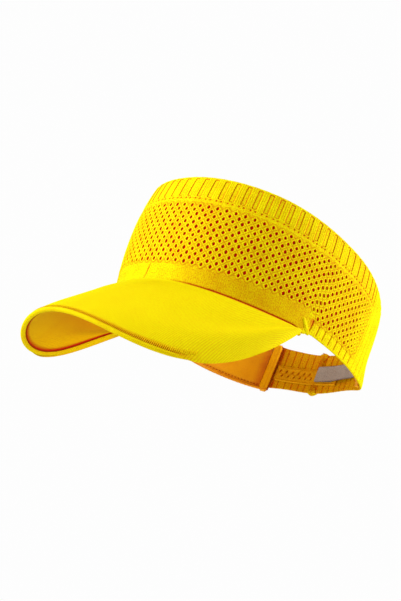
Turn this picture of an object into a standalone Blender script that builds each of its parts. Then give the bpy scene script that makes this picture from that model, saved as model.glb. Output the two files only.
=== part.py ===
"""Sun visor with a knitted head band, an arched brim, a sweatband and a hook-and-loop size strap.

Frame: +Z up along the head, -Y out over the brim, +X to the wearer's left.
The origin is the centre of the head opening, in the plane of the band's lower edge.
An angle around the head is 0 at the front and grows towards the wearer's left.
Lengths are in millimetres until a mesh or a curve is made, which is in metres.
"""

import math

import bpy
from mathutils import Matrix, Vector

MM = 0.001
GAP = 0.3                    # between pieces that touch

# Head oval, measured over the outside of the knit
HALF_WIDTH = 84.5
HALF_LENGTH = 89.5
SQUARENESS_FRONT = 2.2       # 2 is an ellipse, more is squarer
SQUARENESS_BACK = 2.25
FRONT_NARROWING = 0.06

# Band wall
HEIGHT_FRONT = 75.0
HEIGHT_SIDE = 69.0
HEIGHT_BACK = 32.5
HEIGHT_SKEW = 5.4            # lowers the top edge ahead of the ears and raises it behind them
BULGE_FRONT = 3.8            # how far the wall swells out half-way up
BULGE_SIDE = 2.6
TOP_CURL = 0.4               # how far the top edge turns in
FLARE = 2.3                  # how far the top edge stands out around the forehead
FLARE_FROM = 0.2             # fraction of the height where it starts
FLARE_POWER = 1.2
FLARE_ENDS = (50.0, 85.0)    # degrees over which it dies out towards the ears
WALL = 1.4
EDGE_DIP_FRONT = 2.5         # the lower edge dips over the brim
EDGE_DIP_SHOULDER = 3.0
EDGE_DIP_REAR = 2.0
NAPE_RISE = 4.5              # and rises either side of the back seam
NAPE_RISE_AT = 158.0
NAPE_RISE_SPREAD = 19.0
REAR_SAG_LEFT = (0.8, 134.0, 15.0)     # depth, angle and spread; the knit hangs lower behind the ears
REAR_SAG_RIGHT = (2.4, -152.0, 13.0)
REAR_DIP_RIGHT = (3.0, -153.0, 10.0)   # and its top edge dips beside the sweatband's right end

# Knit zones, as fractions of the wall's height and angles around the head
CUFF_FROM = 0.78
PLAIN_TO_FRONT = 0.15
PLAIN_TO_CORNER = 0.20
HEM_TO = 0.13
ZONE_STEP = 0.2              # degrees from the brim's corner to where the hem starts
ZONE_BLEND = 4.0             # degrees over which the plain zone's top drops to the hem's
MESH_END = 112.0
BACK_SEAM_HALF = 1.4         # degrees
BACK_SEAM_PROUD = 0.5
BACK_SEAM_OVERHANG = 1.2

# Brim
BRIM_CORNER = 82.0           # where the brim meets the band's lower edge
BRIM_REACH = 52.9            # at the front, measured level
BRIM_ROUNDNESS = 1.5
BRIM_TAPER = 0.76
BRIM_DROP_FRONT = 56.0
BRIM_DROP_THIRDS_LEFT = (65.2, 55.8)      # at one and two thirds of the way to the corner
BRIM_DROP_THIRDS_RIGHT = (63.8, 56.0)
BRIM_CROWN = 1.2
BRIM_CROWN_SIDE = 9.0
BRIM_CROWN_POWER = 4.0
BRIM_CORNER_SAG = 1.4        # how far the leading edge sags as it nears the corner
BRIM_CORNER_SAG_REACH = 12.0
COVER = 0.6
BOARD = 1.4
BRIM_STACK = 2 * COVER + 2 * GAP + BOARD
BRIM_FLARE = 0.3             # part of the brim over which its middle drops away from its top
LIP = 2.4                    # width of the folded edge strip
BOARD_INSET = 2.8            # of the board's edge from the leading edge
GROOVE = 1.1                 # stitched groove between the edge strip and the covers
THREAD = 0.5
BRIM_END = 73.0              # degrees; the board and covers stop short of the corners
EDGE_STRIP = 0.45
EDGE_STRIP_ENDS = (76.4, 78.8, 79.8)   # degrees; columns of the edge strip past the covers' ends
BRIM_COLUMNS = 38
BRIM_ROWS = 7
CORNER_TACK_AT = 84.6
CORNER_TACK_HEIGHT = 3.6
CORNER_TACK = (2.4, 0.8, 7.0)    # along the band, thick and tall
CORNER_TACK_LEAN = 12.0

# Linings, as depths in from the outside of the knit
TAPE_DEPTH = 1.7
TAPE = 0.5
TAPE_LIFT = 0.6
TAPE_WIDTH = 9.0
TAPE_END = BRIM_CORNER - 3.0
FOAM = 1.8
FOAM_LIFT = 10.0             # above the sweatband's lower edge
FOAM_HEIGHT = 24.0
LINING_DEPTH = WALL + GAP + FOAM + GAP
LINING = 0.6
LINING_HEIGHT = 36.0
LINING_LIFT = 3.2            # above the brim seam
LINING_LOW_RIGHT = -1.5      # behind the brim; it hangs lower on the wearer's right
LINING_LOW_LEFT = 2.0
LINING_TURN = BRIM_CORNER - 2.0  # where its lower edge starts down past the brim's corner
LINING_RAMP = 34.0
LINING_RIGHT_END = -156.0
LINING_LEFT_END = 141.0
LINING_SEAM = 3.0            # height of the stitches above the lower edge
END_HEM = 5.0                # degrees
END_HEM_DEPTH = 5.0
END_HEM_BELOW = 1.3
END_HEM_ABOVE = 1.0
PIPING_RADIUS = 1.0

# Size strap
LOOP_FROM = -156.9
LOOP_TO = -193.0
LOOP_LOW = 7.5
LOOP_HIGH = 20.0
LOOP_DEPTH = 1.9
LOOP = 1.1
LOOP_ZIGZAG = 2.2            # to each side of the tape's middle
LOOP_STITCHING = (1.5, 18.0)     # degrees in from the tape's end
STRAP_LOW = 9.0
STRAP_HIGH = 21.5
STRAP = 0.8
STRAP_TAB_FROM = 142.6
STRAP_HINGE = 147.6
STRAP_RISE = 14.0            # degrees from the hinge to where it lies over the loop tape
STRAP_TIP = 179.3
HOOK_FROM = 169.0
HOOK_DEPTH = LOOP_DEPTH + LOOP + GAP
HOOK = 0.8
HOOK_MARGIN = 0.6
TACK = 0.8                   # thickness of a bar of stitches

COLOURS = {
    "knit": ((1.0, 0.83, 0.01), 0.85),
    "brim_cloth": ((0.98, 0.80, 0.01), 0.8),
    "brim_board": ((0.93, 0.92, 0.88), 0.5),
    "thread": ((0.92, 0.62, 0.01), 0.7),
    "sweatband": ((0.95, 0.66, 0.01), 0.6),
    "foam": ((0.95, 0.93, 0.85), 0.95),
    "loop_tape": ((0.95, 0.68, 0.02), 0.95),
    "strap": ((0.48, 0.45, 0.43), 0.6),
    "hook": ((0.42, 0.40, 0.38), 0.7),
}


# --- shape of the band and the brim -------------------------------------------------------

def signed_power(value, power):
    return math.copysign(abs(value) ** power, value)


def ease(t):
    """0 to 1 with level ends."""
    t = min(max(t, 0.0), 1.0)
    return t * t * (3 - 2 * t)


def around(angle, front, side, back):
    """A length that blends from front to side to back around the head."""
    c = math.cos(math.radians(angle))
    return side + (front - back) / 2 * c + ((front + back) / 2 - side) * c * c


def oval(angle):
    """Outside of the knit at the lower edge."""
    s = math.sin(math.radians(angle))
    c = math.cos(math.radians(angle))
    e = 2 / (SQUARENESS_FRONT if c > 0 else SQUARENESS_BACK)
    x = HALF_WIDTH * signed_power(s, e) * (1 - FRONT_NARROWING * c)
    return Vector((x, -HALF_LENGTH * signed_power(c, e), 0.0))


def fold_angle(angle):
    """The same direction, between 0 and 180 degrees from the front."""
    return abs((angle + 180.0) % 360.0 - 180.0)


def local_dip(angle, dip):
    depth, at, spread = dip
    away = (angle - at + 180.0) % 360.0 - 180.0
    return depth * math.exp(-(away / spread) ** 2)


def lower_edge(angle):
    a = fold_angle(angle)
    if a < BRIM_CORNER:
        # Quartic through the two dips, the second half-way round to the brim's corner
        u2 = (a / BRIM_CORNER) ** 2
        shoulder = 0.75 * EDGE_DIP_FRONT - EDGE_DIP_SHOULDER
        return -EDGE_DIP_FRONT * (1 - u2) + shoulder * 16 / 3 * u2 * (1 - u2)
    t = (a - BRIM_CORNER) / (180.0 - BRIM_CORNER)
    rise = NAPE_RISE * math.exp(-((a - NAPE_RISE_AT) / NAPE_RISE_SPREAD) ** 2)
    sag = local_dip(angle, REAR_SAG_LEFT) + local_dip(angle, REAR_SAG_RIGHT)
    return rise - sag - EDGE_DIP_REAR * 4 * t * (1 - t)


def upper_edge(angle):
    a = math.radians(angle)
    skew = HEIGHT_SKEW * math.sin(a) ** 2 * math.cos(a)
    whole = around(angle, HEIGHT_FRONT, HEIGHT_SIDE, HEIGHT_BACK) - skew
    return whole - local_dip(angle, REAR_DIP_RIGHT)


def top_flare(angle, h):
    start, end = FLARE_ENDS
    fade = 1 - ease((fold_angle(angle) - start) / (end - start))
    return FLARE * fade * max((h - FLARE_FROM) / (1 - FLARE_FROM), 0.0) ** FLARE_POWER


def band_point(angle, z, depth=0.0):
    """Point on the band at a height, a depth in from the outside of the knit."""
    base = oval(angle)
    h = max(z / upper_edge(angle), 0.0)
    swell = around(angle, BULGE_FRONT, BULGE_SIDE, 0.0) * 4 * h * (1 - min(h, 1.0))
    inward = depth + TOP_CURL * h ** 8 - swell - top_flare(angle, h)
    r = base.length
    return Vector((base.x * (1 - inward / r), base.y * (1 - inward / r), z))


def wall_height(angle, fraction):
    low = lower_edge(angle)
    return low + fraction * (upper_edge(angle) - low)


def zone_top(angle):
    """Top of the plain zone over the brim and of the ribbed hem behind it, as a fraction."""
    a = fold_angle(angle)
    plain = PLAIN_TO_FRONT + (PLAIN_TO_CORNER - PLAIN_TO_FRONT) * min(a / BRIM_CORNER, 1.0) ** 2
    blend = min(max((a - BRIM_CORNER - ZONE_STEP) / ZONE_BLEND, 0.0), 1.0)
    return plain + (HEM_TO - plain) * blend


def natural_spline(values, x):
    """Natural cubic through evenly spaced values, from x = -1 to x = 1."""
    n = len(values) - 1
    h = 2.0 / n
    lower = [0.0] * (n + 1)
    right = [0.0] * (n + 1)
    for i in range(1, n):
        rhs = 6 * (values[i - 1] - 2 * values[i] + values[i + 1]) / (h * h)
        pivot = 4 - lower[i - 1]
        lower[i] = 1 / pivot
        right[i] = (rhs - right[i - 1]) / pivot
    bend = [0.0] * (n + 1)
    for i in range(n - 1, 0, -1):
        bend[i] = right[i] - lower[i] * bend[i + 1]
    i = min(max(int((x + 1) / h), 0), n - 1)
    b = (x + 1) / h - i
    a = 1 - b
    curved = ((a ** 3 - a) * bend[i] + (b ** 3 - b) * bend[i + 1]) * h * h / 6
    return a * values[i] + b * values[i + 1] + curved


def leading_edge_drop(angle):
    right, left = BRIM_DROP_THIRDS_RIGHT, BRIM_DROP_THIRDS_LEFT
    drops = [0.0, right[1], right[0], BRIM_DROP_FRONT, left[0], left[1], 0.0]
    return natural_spline(drops, angle / BRIM_CORNER)


def brim_middle(angle, v):
    """Middle of the brim's thickness: v runs from 0 at the seam to 1 at the leading edge."""
    root = oval(angle)
    u = min(abs(angle / BRIM_CORNER), 1.0)
    reach = BRIM_REACH * (1 - u ** BRIM_ROUNDNESS) ** BRIM_TAPER
    out = root * (1 + v * reach / root.length)
    q = BRIM_CROWN_POWER
    hump = v ** q * (1 - v) * (1 + q) ** (1 + q) / q ** q
    crown = hump * (BRIM_CROWN * (1 - u * u) + BRIM_CROWN_SIDE * 4 * u * u * (1 - u * u))
    sag = BRIM_CORNER_SAG * math.exp(-(reach / BRIM_CORNER_SAG_REACH) ** 2)
    z = lower_edge(angle) * (1 - v) - (leading_edge_drop(angle) + sag) * v + crown
    return Vector((out.x, out.y, z))


def brim_directions(angle, v):
    """Unit vectors at a point of the brim: out towards the edge, and up off its surface."""
    da, dv = 0.05, 0.002
    a0 = min(max(angle, -BRIM_CORNER + 0.2), BRIM_CORNER - 0.2)
    v0 = min(max(v, dv), 1 - dv)
    along = brim_middle(a0 + da, v0) - brim_middle(a0 - da, v0)
    out = brim_middle(a0, v0 + dv) - brim_middle(a0, v0 - dv)
    return out.normalized(), out.cross(along).normalized()


def steps(start, end, count):
    return [start + (end - start) * i / count for i in range(count + 1)]


def brim_length(angle):
    """Length of the brim from seam to edge, along its surface."""
    points = [brim_middle(angle, v) for v in steps(0, 1, 8)]
    return sum((b - a).length for a, b in zip(points, points[1:]))


def brim_point(angle, v, below_top):
    """Point at a distance below the brim's top, which meets the band's outside at the seam."""
    rise = BRIM_STACK / 2 * ease(v / BRIM_FLARE)
    up = brim_directions(angle, v)[1]
    return brim_middle(angle, v) + up * (rise - below_top)


def edge_v(angle, inset):
    """v of the line that runs a distance inside the leading edge, square to that edge."""
    along = (brim_middle(angle + 0.2, 1.0) - brim_middle(angle - 0.2, 1.0)).normalized()
    out = brim_directions(angle, 1.0)[0]
    square = out.cross(along).length
    return max(1 - inset / (square * brim_length(angle)), 0.1)


# --- making objects -----------------------------------------------------------------------

def clear_scene():
    for obj in list(bpy.data.objects):
        bpy.data.objects.remove(obj, do_unlink=True)


def material(slot):
    found = bpy.data.materials.get(slot)
    if found:
        return found
    colour, roughness = COLOURS[slot]
    made = bpy.data.materials.new(slot)
    made.use_nodes = True
    shader = made.node_tree.nodes["Principled BSDF"]
    shader.inputs["Base Color"].default_value = (*colour, 1.0)
    shader.inputs["Roughness"].default_value = roughness
    shader.inputs["Metallic"].default_value = 0.0
    return made


def place(obj, slot, parent):
    """Links an object into the visor, under the empty that carries it."""
    obj.data.materials.append(material(slot))
    bpy.data.collections["sun_visor"].objects.link(obj)
    obj.parent = parent
    return obj


def brim_columns(past_end=()):
    """Angles across the brim, closer together towards its two corners."""
    covers = [BRIM_END * math.sin(math.pi / 2 * t) for t in steps(-1, 1, BRIM_COLUMNS)]
    return [-a for a in reversed(past_end)] + covers + list(past_end)


def shell(name, slot, parent, point, columns, rows, thickness, flip=False):
    """A sheet over a grid of points, given thickness behind its face."""
    origin = parent.location
    verts = [point(c, r) * MM - origin for c in columns for r in rows]
    n = len(rows)
    faces = []
    for i in range(len(columns) - 1):
        for j in range(n - 1):
            face = (i * n + j, (i + 1) * n + j, (i + 1) * n + j + 1, i * n + j + 1)
            faces.append(face[::-1] if flip else face)
    mesh = bpy.data.meshes.new(name)
    mesh.from_pydata(verts, [], faces)
    mesh.shade_smooth()
    obj = bpy.data.objects.new(name, mesh)
    solid = obj.modifiers.new("thickness", "SOLIDIFY")
    solid.thickness = thickness * MM
    solid.offset = -1.0
    solid.use_even_offset = True
    return place(obj, slot, parent)


def tube(name, slot, parent, points, radius):
    """A round thread or cord through points."""
    curve = bpy.data.curves.new(name, "CURVE")
    curve.dimensions = "3D"
    curve.bevel_depth = radius * MM
    curve.bevel_resolution = 1
    curve.use_fill_caps = True
    line = curve.splines.new("POLY")
    line.points.add(len(points) - 1)
    for stop, p in zip(line.points, points):
        stop.co = (*(p * MM - parent.location), 1.0)
    return place(bpy.data.objects.new(name, curve), slot, parent)


def tack(name, parent, angle, z, depth, size, lean=0.0):
    """A dense rounded bar of stitches lying on the band."""
    bpy.ops.mesh.primitive_cube_add(size=1.0)
    obj = bpy.context.object
    obj.name = name
    for owner in list(obj.users_collection):
        owner.objects.unlink(obj)
    obj.data.transform(Matrix.Diagonal((*(s * MM for s in size), 1.0)))
    here = band_point(angle, z, depth)
    along = band_point(angle + 0.5, z, depth) - band_point(angle - 0.5, z, depth)
    obj.location = here * MM - parent.location
    obj.rotation_euler = (0.0, math.radians(lean), math.atan2(along.y, along.x))
    bevel = obj.modifiers.new("rounded", "BEVEL")
    bevel.width = 0.25 * size[1] * MM
    bevel.segments = 1
    return place(obj, "thread", parent)


# --- sub-parts ------------------------------------------------------------------------------

def band_zone(name, parent, columns, low, high, rows):
    """A zone of the knitted wall, between two lines given as functions of the angle."""
    def point(angle, r):
        bottom = low(angle) + GAP / 2
        return band_point(angle, bottom + (high(angle) - GAP / 2 - bottom) * r)
    return shell(name, "knit", parent, point, columns, steps(0, 1, rows), WALL)


def knit_band(frame):
    mesh_low = lambda a: wall_height(a, zone_top(a))
    cuff_low = lambda a: wall_height(a, CUFF_FROM)
    corner = BRIM_CORNER + ZONE_STEP
    front = steps(-corner, corner, 33)
    sides = steps(corner, MESH_END, 6)[1:]
    across = [-a for a in reversed(sides)] + front + sides
    band_zone("knit_top_rib_cuff", frame, across, cuff_low, upper_edge, 2)
    band_zone("knit_mesh_panel", frame, across, mesh_low, cuff_low, 5)
    plain = [2 * ZONE_STEP - corner] + front[1:-1] + [corner - 2 * ZONE_STEP]
    band_zone("knit_front_plain_panel", frame, plain, lower_edge, mesh_low, 1)
    seam = BACK_SEAM_HALF + ZONE_STEP
    for side, name in ((1, "left"), (-1, "right")):
        hem = sorted(side * a for a in [corner] + sides)
        rear = sorted(side * a for a in steps(MESH_END + ZONE_STEP, 180.0 - seam, 14))
        band_zone("knit_side_hem_" + name, frame, hem, lower_edge, mesh_low, 1)
        band_zone("knit_rear_rib_" + name, frame, rear, lower_edge, upper_edge, 3)


def back_seam(frame):
    def point(angle, r):
        low = lower_edge(angle) - BACK_SEAM_OVERHANG
        high = upper_edge(angle) + BACK_SEAM_OVERHANG
        return band_point(angle, low + (high - low) * r, -BACK_SEAM_PROUD)
    columns = steps(180.0 - BACK_SEAM_HALF, 180.0 + BACK_SEAM_HALF, 2)
    thickness = BACK_SEAM_PROUD + WALL + 0.2
    shell("centre_back_seam", "knit", frame, point, columns, steps(0, 1, 5), thickness)


def brim_line(angle, row):
    """v of a row: evenly spaced under the covers, then one more out under the edge strip."""
    covers = edge_v(angle, LIP + GROOVE)
    if row <= BRIM_ROWS:
        return covers * row / BRIM_ROWS
    return edge_v(angle, BOARD_INSET)


def brim_layer(name, slot, frame, depth, thickness, rows):
    def point(angle, row):
        return brim_point(angle, brim_line(angle, row), depth)
    shell(name, slot, frame, point, brim_columns(), range(rows + 1), thickness, flip=True)


def brim(frame):
    under = BRIM_STACK - COVER
    brim_layer("brim_top_cover", "brim_cloth", frame, 0.0, COVER, BRIM_ROWS)
    brim_layer("brim_board", "brim_board", frame, COVER + GAP, BOARD, BRIM_ROWS + 1)
    brim_layer("brim_bottom_cover", "brim_cloth", frame, under, COVER, BRIM_ROWS)


def brim_edge_section(angle, w):
    """Outside of the folded edge strip: w runs over the top lip, the nose and the lower lip."""
    half = BRIM_STACK / 2
    width = min(LIP, 0.45 * brim_length(angle))
    lip = (width, (width + half) / 2, half)
    nose = (60.0, 30.0, 0.0, -30.0, -60.0)
    if w < len(lip):
        return brim_point(angle, edge_v(angle, lip[w]), 0.0)
    if w >= len(lip) + len(nose):
        return brim_point(angle, edge_v(angle, lip[::-1][w - len(lip) - len(nose)]), BRIM_STACK)
    turn = math.radians(nose[w - len(lip)])
    out, up = brim_directions(angle, 1.0)
    centre = brim_point(angle, edge_v(angle, half), half)
    return centre + (out * math.cos(turn) + up * math.sin(turn)) * half


def brim_edge(frame):
    columns = brim_columns(EDGE_STRIP_ENDS)
    shell("brim_edge_strip", "brim_cloth", frame, brim_edge_section, columns, range(11),
          EDGE_STRIP, flip=True)
    inset = LIP + GROOVE / 2
    sunk = 0.6 * THREAD
    for name, depth in (("brim_top_stitch_thread", sunk),
                        ("brim_under_stitch_thread", BRIM_STACK - sunk)):
        points = [brim_point(a, edge_v(a, inset), depth) for a in brim_columns()]
        tube(name, "thread", frame, points, THREAD / 2)


def brim_corners(frame):
    for side, name in ((1, "left"), (-1, "right")):
        tack("brim_corner_tack_" + name, frame, side * CORNER_TACK_AT, CORNER_TACK_HEIGHT,
             -0.5 - GAP, CORNER_TACK, side * CORNER_TACK_LEAN)


def brim_seam_tape(frame):
    def point(angle, r):
        return band_point(angle, lower_edge(angle) + TAPE_LIFT + TAPE_WIDTH * r, TAPE_DEPTH)
    columns = steps(-TAPE_END, TAPE_END, 32)
    shell("brim_seam_tape", "sweatband", frame, point, columns, steps(0, 1, 1), TAPE)


def lining_low(angle):
    """Lower edge of the sweatband: above the brim seam, then level behind the brim."""
    a = fold_angle(angle)
    if a < LINING_TURN:
        return lower_edge(angle) + LINING_LIFT
    corner = lower_edge(LINING_TURN) + LINING_LIFT
    behind = LINING_LOW_LEFT if angle > 0 else LINING_LOW_RIGHT
    return corner + (behind - corner) * ease((a - LINING_TURN) / LINING_RAMP)


def sweatband(frame):
    first = LINING_RIGHT_END + END_HEM + ZONE_STEP
    last = LINING_LEFT_END - END_HEM - ZONE_STEP

    def lining(angle, r):
        return band_point(angle, lining_low(angle) + LINING_HEIGHT * r, LINING_DEPTH)

    def foam(angle, r):
        return band_point(angle, lining_low(angle) + FOAM_LIFT + FOAM_HEIGHT * r, WALL + GAP)

    columns = steps(first, last, 58)
    shell("sweatband_lining", "sweatband", frame, lining, columns, steps(0, 1, 3), LINING)
    columns = steps(first + 1, last - 1, 56)
    shell("sweatband_foam", "foam", frame, foam, columns, steps(0, 1, 2), FOAM)

    below = GAP + PIPING_RADIUS
    stops = steps(first, last, 70)
    cord = [band_point(a, lining_low(a) - below, LINING_DEPTH) for a in stops]
    tube("sweatband_lower_piping", "sweatband", frame, cord, PIPING_RADIUS)
    depth = LINING_DEPTH + LINING + GAP + THREAD / 2
    seam = [band_point(a, lining_low(a) + LINING_SEAM, depth) for a in stops]
    tube("sweatband_stitch_thread", "thread", frame, seam, THREAD / 2)


def sweatband_ends(frame):
    height = LINING_HEIGHT + END_HEM_BELOW + END_HEM_ABOVE

    def point(angle, r):
        low = lining_low(angle) - END_HEM_BELOW
        return band_point(angle, low + height * r, END_HEM_DEPTH)
    for name, start, end in (("right", LINING_RIGHT_END, LINING_RIGHT_END + END_HEM),
                             ("left", LINING_LEFT_END - END_HEM, LINING_LEFT_END)):
        shell("sweatband_end_hem_" + name, "sweatband", frame, point, steps(start, end, 2),
              steps(0, 1, 2), END_HEM_DEPTH - LOOP_DEPTH, flip=True)


def loop_tape(frame):
    def point(angle, r):
        return band_point(angle, LOOP_LOW + (LOOP_HIGH - LOOP_LOW) * r, LOOP_DEPTH)
    columns = steps(LOOP_TO, LOOP_FROM, 9)
    shell("loop_tape", "loop_tape", frame, point, columns, steps(0, 1, 1), LOOP)
    middle = (LOOP_LOW + LOOP_HIGH) / 2
    depth = LOOP_DEPTH + LOOP + GAP + THREAD / 2
    first, last = LOOP_STITCHING
    stops = steps(LOOP_FROM - first, LOOP_FROM - last, 12)
    zigzag = [band_point(a, middle + (LOOP_ZIGZAG if i % 2 else -LOOP_ZIGZAG), depth)
              for i, a in enumerate(stops)]
    tube("loop_tape_stitch_thread", "thread", frame, zigzag, THREAD / 2)


def strap_depth(angle):
    """The strap starts against the knit and rises over the loop tape."""
    over_loop = HOOK_DEPTH + HOOK + GAP
    return LOOP_DEPTH + (over_loop - LOOP_DEPTH) * ease((angle - STRAP_HINGE) / STRAP_RISE)


def strap_root(frame):
    height = STRAP_HIGH - STRAP_LOW

    def tab(angle, r):
        return band_point(angle, STRAP_LOW + height * r, LOOP_DEPTH)
    columns = steps(STRAP_TAB_FROM, STRAP_HINGE - 0.6, 2)
    shell("strap_root_tab", "strap", frame, tab, columns, steps(0, 1, 1), STRAP)
    middle = (columns[0] + columns[-1]) / 2
    depth = LOOP_DEPTH + STRAP + GAP + TACK / 2
    tack("strap_root_tack", frame, middle, (STRAP_LOW + STRAP_HIGH) / 2, depth,
         (2.0, TACK, height - 1.5))


def strap(hinge):
    height = STRAP_HIGH - STRAP_LOW

    def webbing(angle, r):
        return band_point(angle, STRAP_LOW + height * r, strap_depth(angle))

    def hook(angle, r):
        low = STRAP_LOW + HOOK_MARGIN
        return band_point(angle, low + (height - 2 * HOOK_MARGIN) * r, HOOK_DEPTH)
    columns = steps(STRAP_HINGE + 0.3, STRAP_TIP, 9)
    shell("hook_strap", "strap", hinge, webbing, columns, steps(0, 1, 1), STRAP)
    columns = steps(HOOK_FROM, STRAP_TIP - HOOK_MARGIN, 3)
    shell("hook_patch", "hook", hinge, hook, columns, steps(0, 1, 1), HOOK)


def empty(name, location):
    made = bpy.data.objects.new(name, None)
    bpy.data.collections["sun_visor"].objects.link(made)
    made.location = location
    return made


def main():
    clear_scene()
    visor = bpy.data.collections.new("sun_visor")
    bpy.context.scene.collection.children.link(visor)
    frame = empty("visor_frame", (0.0, 0.0, 0.0))
    hinge_point = band_point(STRAP_HINGE, 0.0, LOOP_DEPTH + STRAP / 2)
    hinge = empty("strap_hinge_axis", hinge_point * MM)
    knit_band(frame)
    back_seam(frame)
    brim(frame)
    brim_edge(frame)
    brim_corners(frame)
    brim_seam_tape(frame)
    sweatband(frame)
    sweatband_ends(frame)
    loop_tape(frame)
    strap_root(frame)
    strap(hinge)


main()
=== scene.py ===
"""Looks of the knitted sun visor: every cloth layer rebuilt with its ribs, holes and stitches."""

import math

import bpy
import numpy as np
from mathutils import Matrix, Vector


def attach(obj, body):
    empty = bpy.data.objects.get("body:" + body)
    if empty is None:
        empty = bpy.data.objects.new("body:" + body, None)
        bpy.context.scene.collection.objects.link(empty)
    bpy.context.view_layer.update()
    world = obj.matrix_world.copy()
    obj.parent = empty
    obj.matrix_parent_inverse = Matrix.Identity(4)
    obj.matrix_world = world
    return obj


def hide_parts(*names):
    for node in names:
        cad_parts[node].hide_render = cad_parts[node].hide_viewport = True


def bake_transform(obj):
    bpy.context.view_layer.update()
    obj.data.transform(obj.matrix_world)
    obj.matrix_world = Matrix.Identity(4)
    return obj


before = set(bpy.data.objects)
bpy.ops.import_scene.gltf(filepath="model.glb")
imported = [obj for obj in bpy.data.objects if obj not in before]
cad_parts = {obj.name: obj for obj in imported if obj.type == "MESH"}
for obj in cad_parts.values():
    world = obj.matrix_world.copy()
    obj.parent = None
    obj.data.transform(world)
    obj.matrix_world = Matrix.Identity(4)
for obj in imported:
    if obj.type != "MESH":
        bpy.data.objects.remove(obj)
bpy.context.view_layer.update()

MM = 0.001

# Shape of the band and the brim, in millimetres and degrees, as the CAD has it
HALF_WIDTH, HALF_LENGTH = 84.5, 89.5
OVAL_POWER_FRONT, OVAL_POWER_BACK, OVAL_SQUEEZE = 2.2, 2.25, 0.06
EDGE_DIP_FRONT, EDGE_DIP_SHOULDER, EDGE_DIP_REAR = 2.5, 3.0, 2.0
NAPE_RISE, NAPE_RISE_AT, NAPE_RISE_SPREAD = 4.5, 158.0, 19.0
HEIGHT_FRONT, HEIGHT_SIDE, HEIGHT_BACK, HEIGHT_SKEW = 75.0, 69.0, 32.5, 5.4
BULGE_FRONT, BULGE_SIDE = 3.8, 2.6
WALL = 1.4
BRIM_CORNER = 82.0
BRIM_REACH, BRIM_ROUNDNESS, BRIM_TAPER = 52.9, 1.5, 0.76
BRIM_DROP_FRONT = 56.0
BRIM_DROP_LEFT, BRIM_DROP_RIGHT = (65.2, 55.8), (63.8, 56.0)   # at one and two thirds round
BRIM_CROWN, BRIM_CROWN_SIDE, BRIM_CROWN_POWER = 1.2, 9.0, 4.0
CORNER_SAG, CORNER_SAG_REACH = 1.4, 12.0
CORNER_DIP, CORNER_DIP_SPREAD, MM_PER_DEGREE = 3.0, 4.0, 1.47
FLARE, FLARE_FROM, FLARE_POWER = 2.3, 0.2, 1.2
FLARE_FADES_AT, FLARE_FADE = 50.0, 35.0
RIM_TURN, RIM_TURN_POWER = 0.4, 8
REAR_SAG_LEFT, REAR_SAG_AT, REAR_SAG_SPREAD = 0.8, 134.0, 15.0
REAR_SAG_RIGHT, REAR_SAG_RIGHT_AT, REAR_SAG_RIGHT_SPREAD = 2.4, -152.0, 13.0
REAR_DIP_RIGHT, REAR_DIP_AT, REAR_DIP_SPREAD = 3.0, -153.0, 10.0
BELLY, BELLY_AT, BELLY_SPREAD, BELLY_HEIGHT = 3.6, 139.0, 18.0, 12.0
BRIM_STACK = 3.2
COVER = 0.6
LIP, GROOVE = 2.4, 1.3
LINING_DEPTH = 3.8
LINING_TURN, LINING_RAMP = 80.0, 34.0
LINING_HEIGHT = 36.0
MESH_END = 112.0

RIB = 6.4                    # pitch of the ribs at the sides and the back
CUFF_RIB = 8.33              # pitch of the cuff's ribs at the front, where the knit is stretched most
CUFF_NARROWING = 0.00165
CHANNEL = 3.5                # width of the sunk channel between two of the cuff's ribs
HOLE_PITCH = 6.27
HOLE_STRETCH = 0.06
HOLE_ROWS = 14
HOLE_RADIUS = 1.1
MESH_TOP = 0.735             # fractions of the wall's height
CUFF_FROM = 0.787
PLAIN_TOP, PLAIN_TOP_RISE, HEM_TOP = 0.15, 0.05, 0.13
MESH_LAP = 0.012             # how far the mesh zone reaches below the top of the zones under it
CUFF_WALL, CUFF_MARGIN, CUFF_CORNER = 72.0, 1.5, 0.8
LINING_LIFT = 3.2
LINING_LOW_RIGHT, LINING_LOW_LEFT = -1.5, 2.0


# --- shape functions, on arrays --------------------

def ease(t):
    """A smooth step from 0 to 1."""
    t = np.clip(t, 0.0, 1.0)
    return t * t * (3 - 2 * t)


def bell(x, width):
    return np.exp(-(x / width) ** 2)


def power(value, p):
    return np.sign(value) * np.abs(value) ** p


def around(a, front, side, back):
    """A value that changes smoothly round the head, given at the front, sides and back."""
    c = np.cos(np.radians(a))
    return side + (front - back) / 2 * c + ((front + back) / 2 - side) * c * c


def oval(a):
    """The band's outline in plan at the brim's seam."""
    a = np.asarray(a, float)
    s, c = np.sin(np.radians(a)), np.cos(np.radians(a))
    e = np.where(c > 0, 2 / OVAL_POWER_FRONT, 2 / OVAL_POWER_BACK)
    x = HALF_WIDTH * power(s, e) * (1 - OVAL_SQUEEZE * c)
    return np.stack([x, -HALF_LENGTH * power(c, e)], -1)


def wrapped(a):
    """The same direction, between -180 and 180 degrees."""
    return (np.asarray(a, float) + 180.0) % 360.0 - 180.0


def folded(a):
    return np.abs(wrapped(a))


def lower_edge(a):
    turned = wrapped(a)
    sag = REAR_SAG_LEFT * bell(turned - REAR_SAG_AT, REAR_SAG_SPREAD)
    sag = sag + REAR_SAG_RIGHT * bell(turned - REAR_SAG_RIGHT_AT, REAR_SAG_RIGHT_SPREAD)
    a = folded(a)
    u2 = (a / BRIM_CORNER) ** 2
    shoulder = 0.75 * EDGE_DIP_FRONT - EDGE_DIP_SHOULDER
    ahead = -EDGE_DIP_FRONT * (1 - u2) + shoulder * 16 / 3 * u2 * (1 - u2)
    t = (a - BRIM_CORNER) / (180.0 - BRIM_CORNER)
    rise = NAPE_RISE * bell(a - NAPE_RISE_AT, NAPE_RISE_SPREAD)
    behind = rise - sag - EDGE_DIP_REAR * 4 * t * (1 - t)
    return np.where(a < BRIM_CORNER, ahead, behind)


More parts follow.
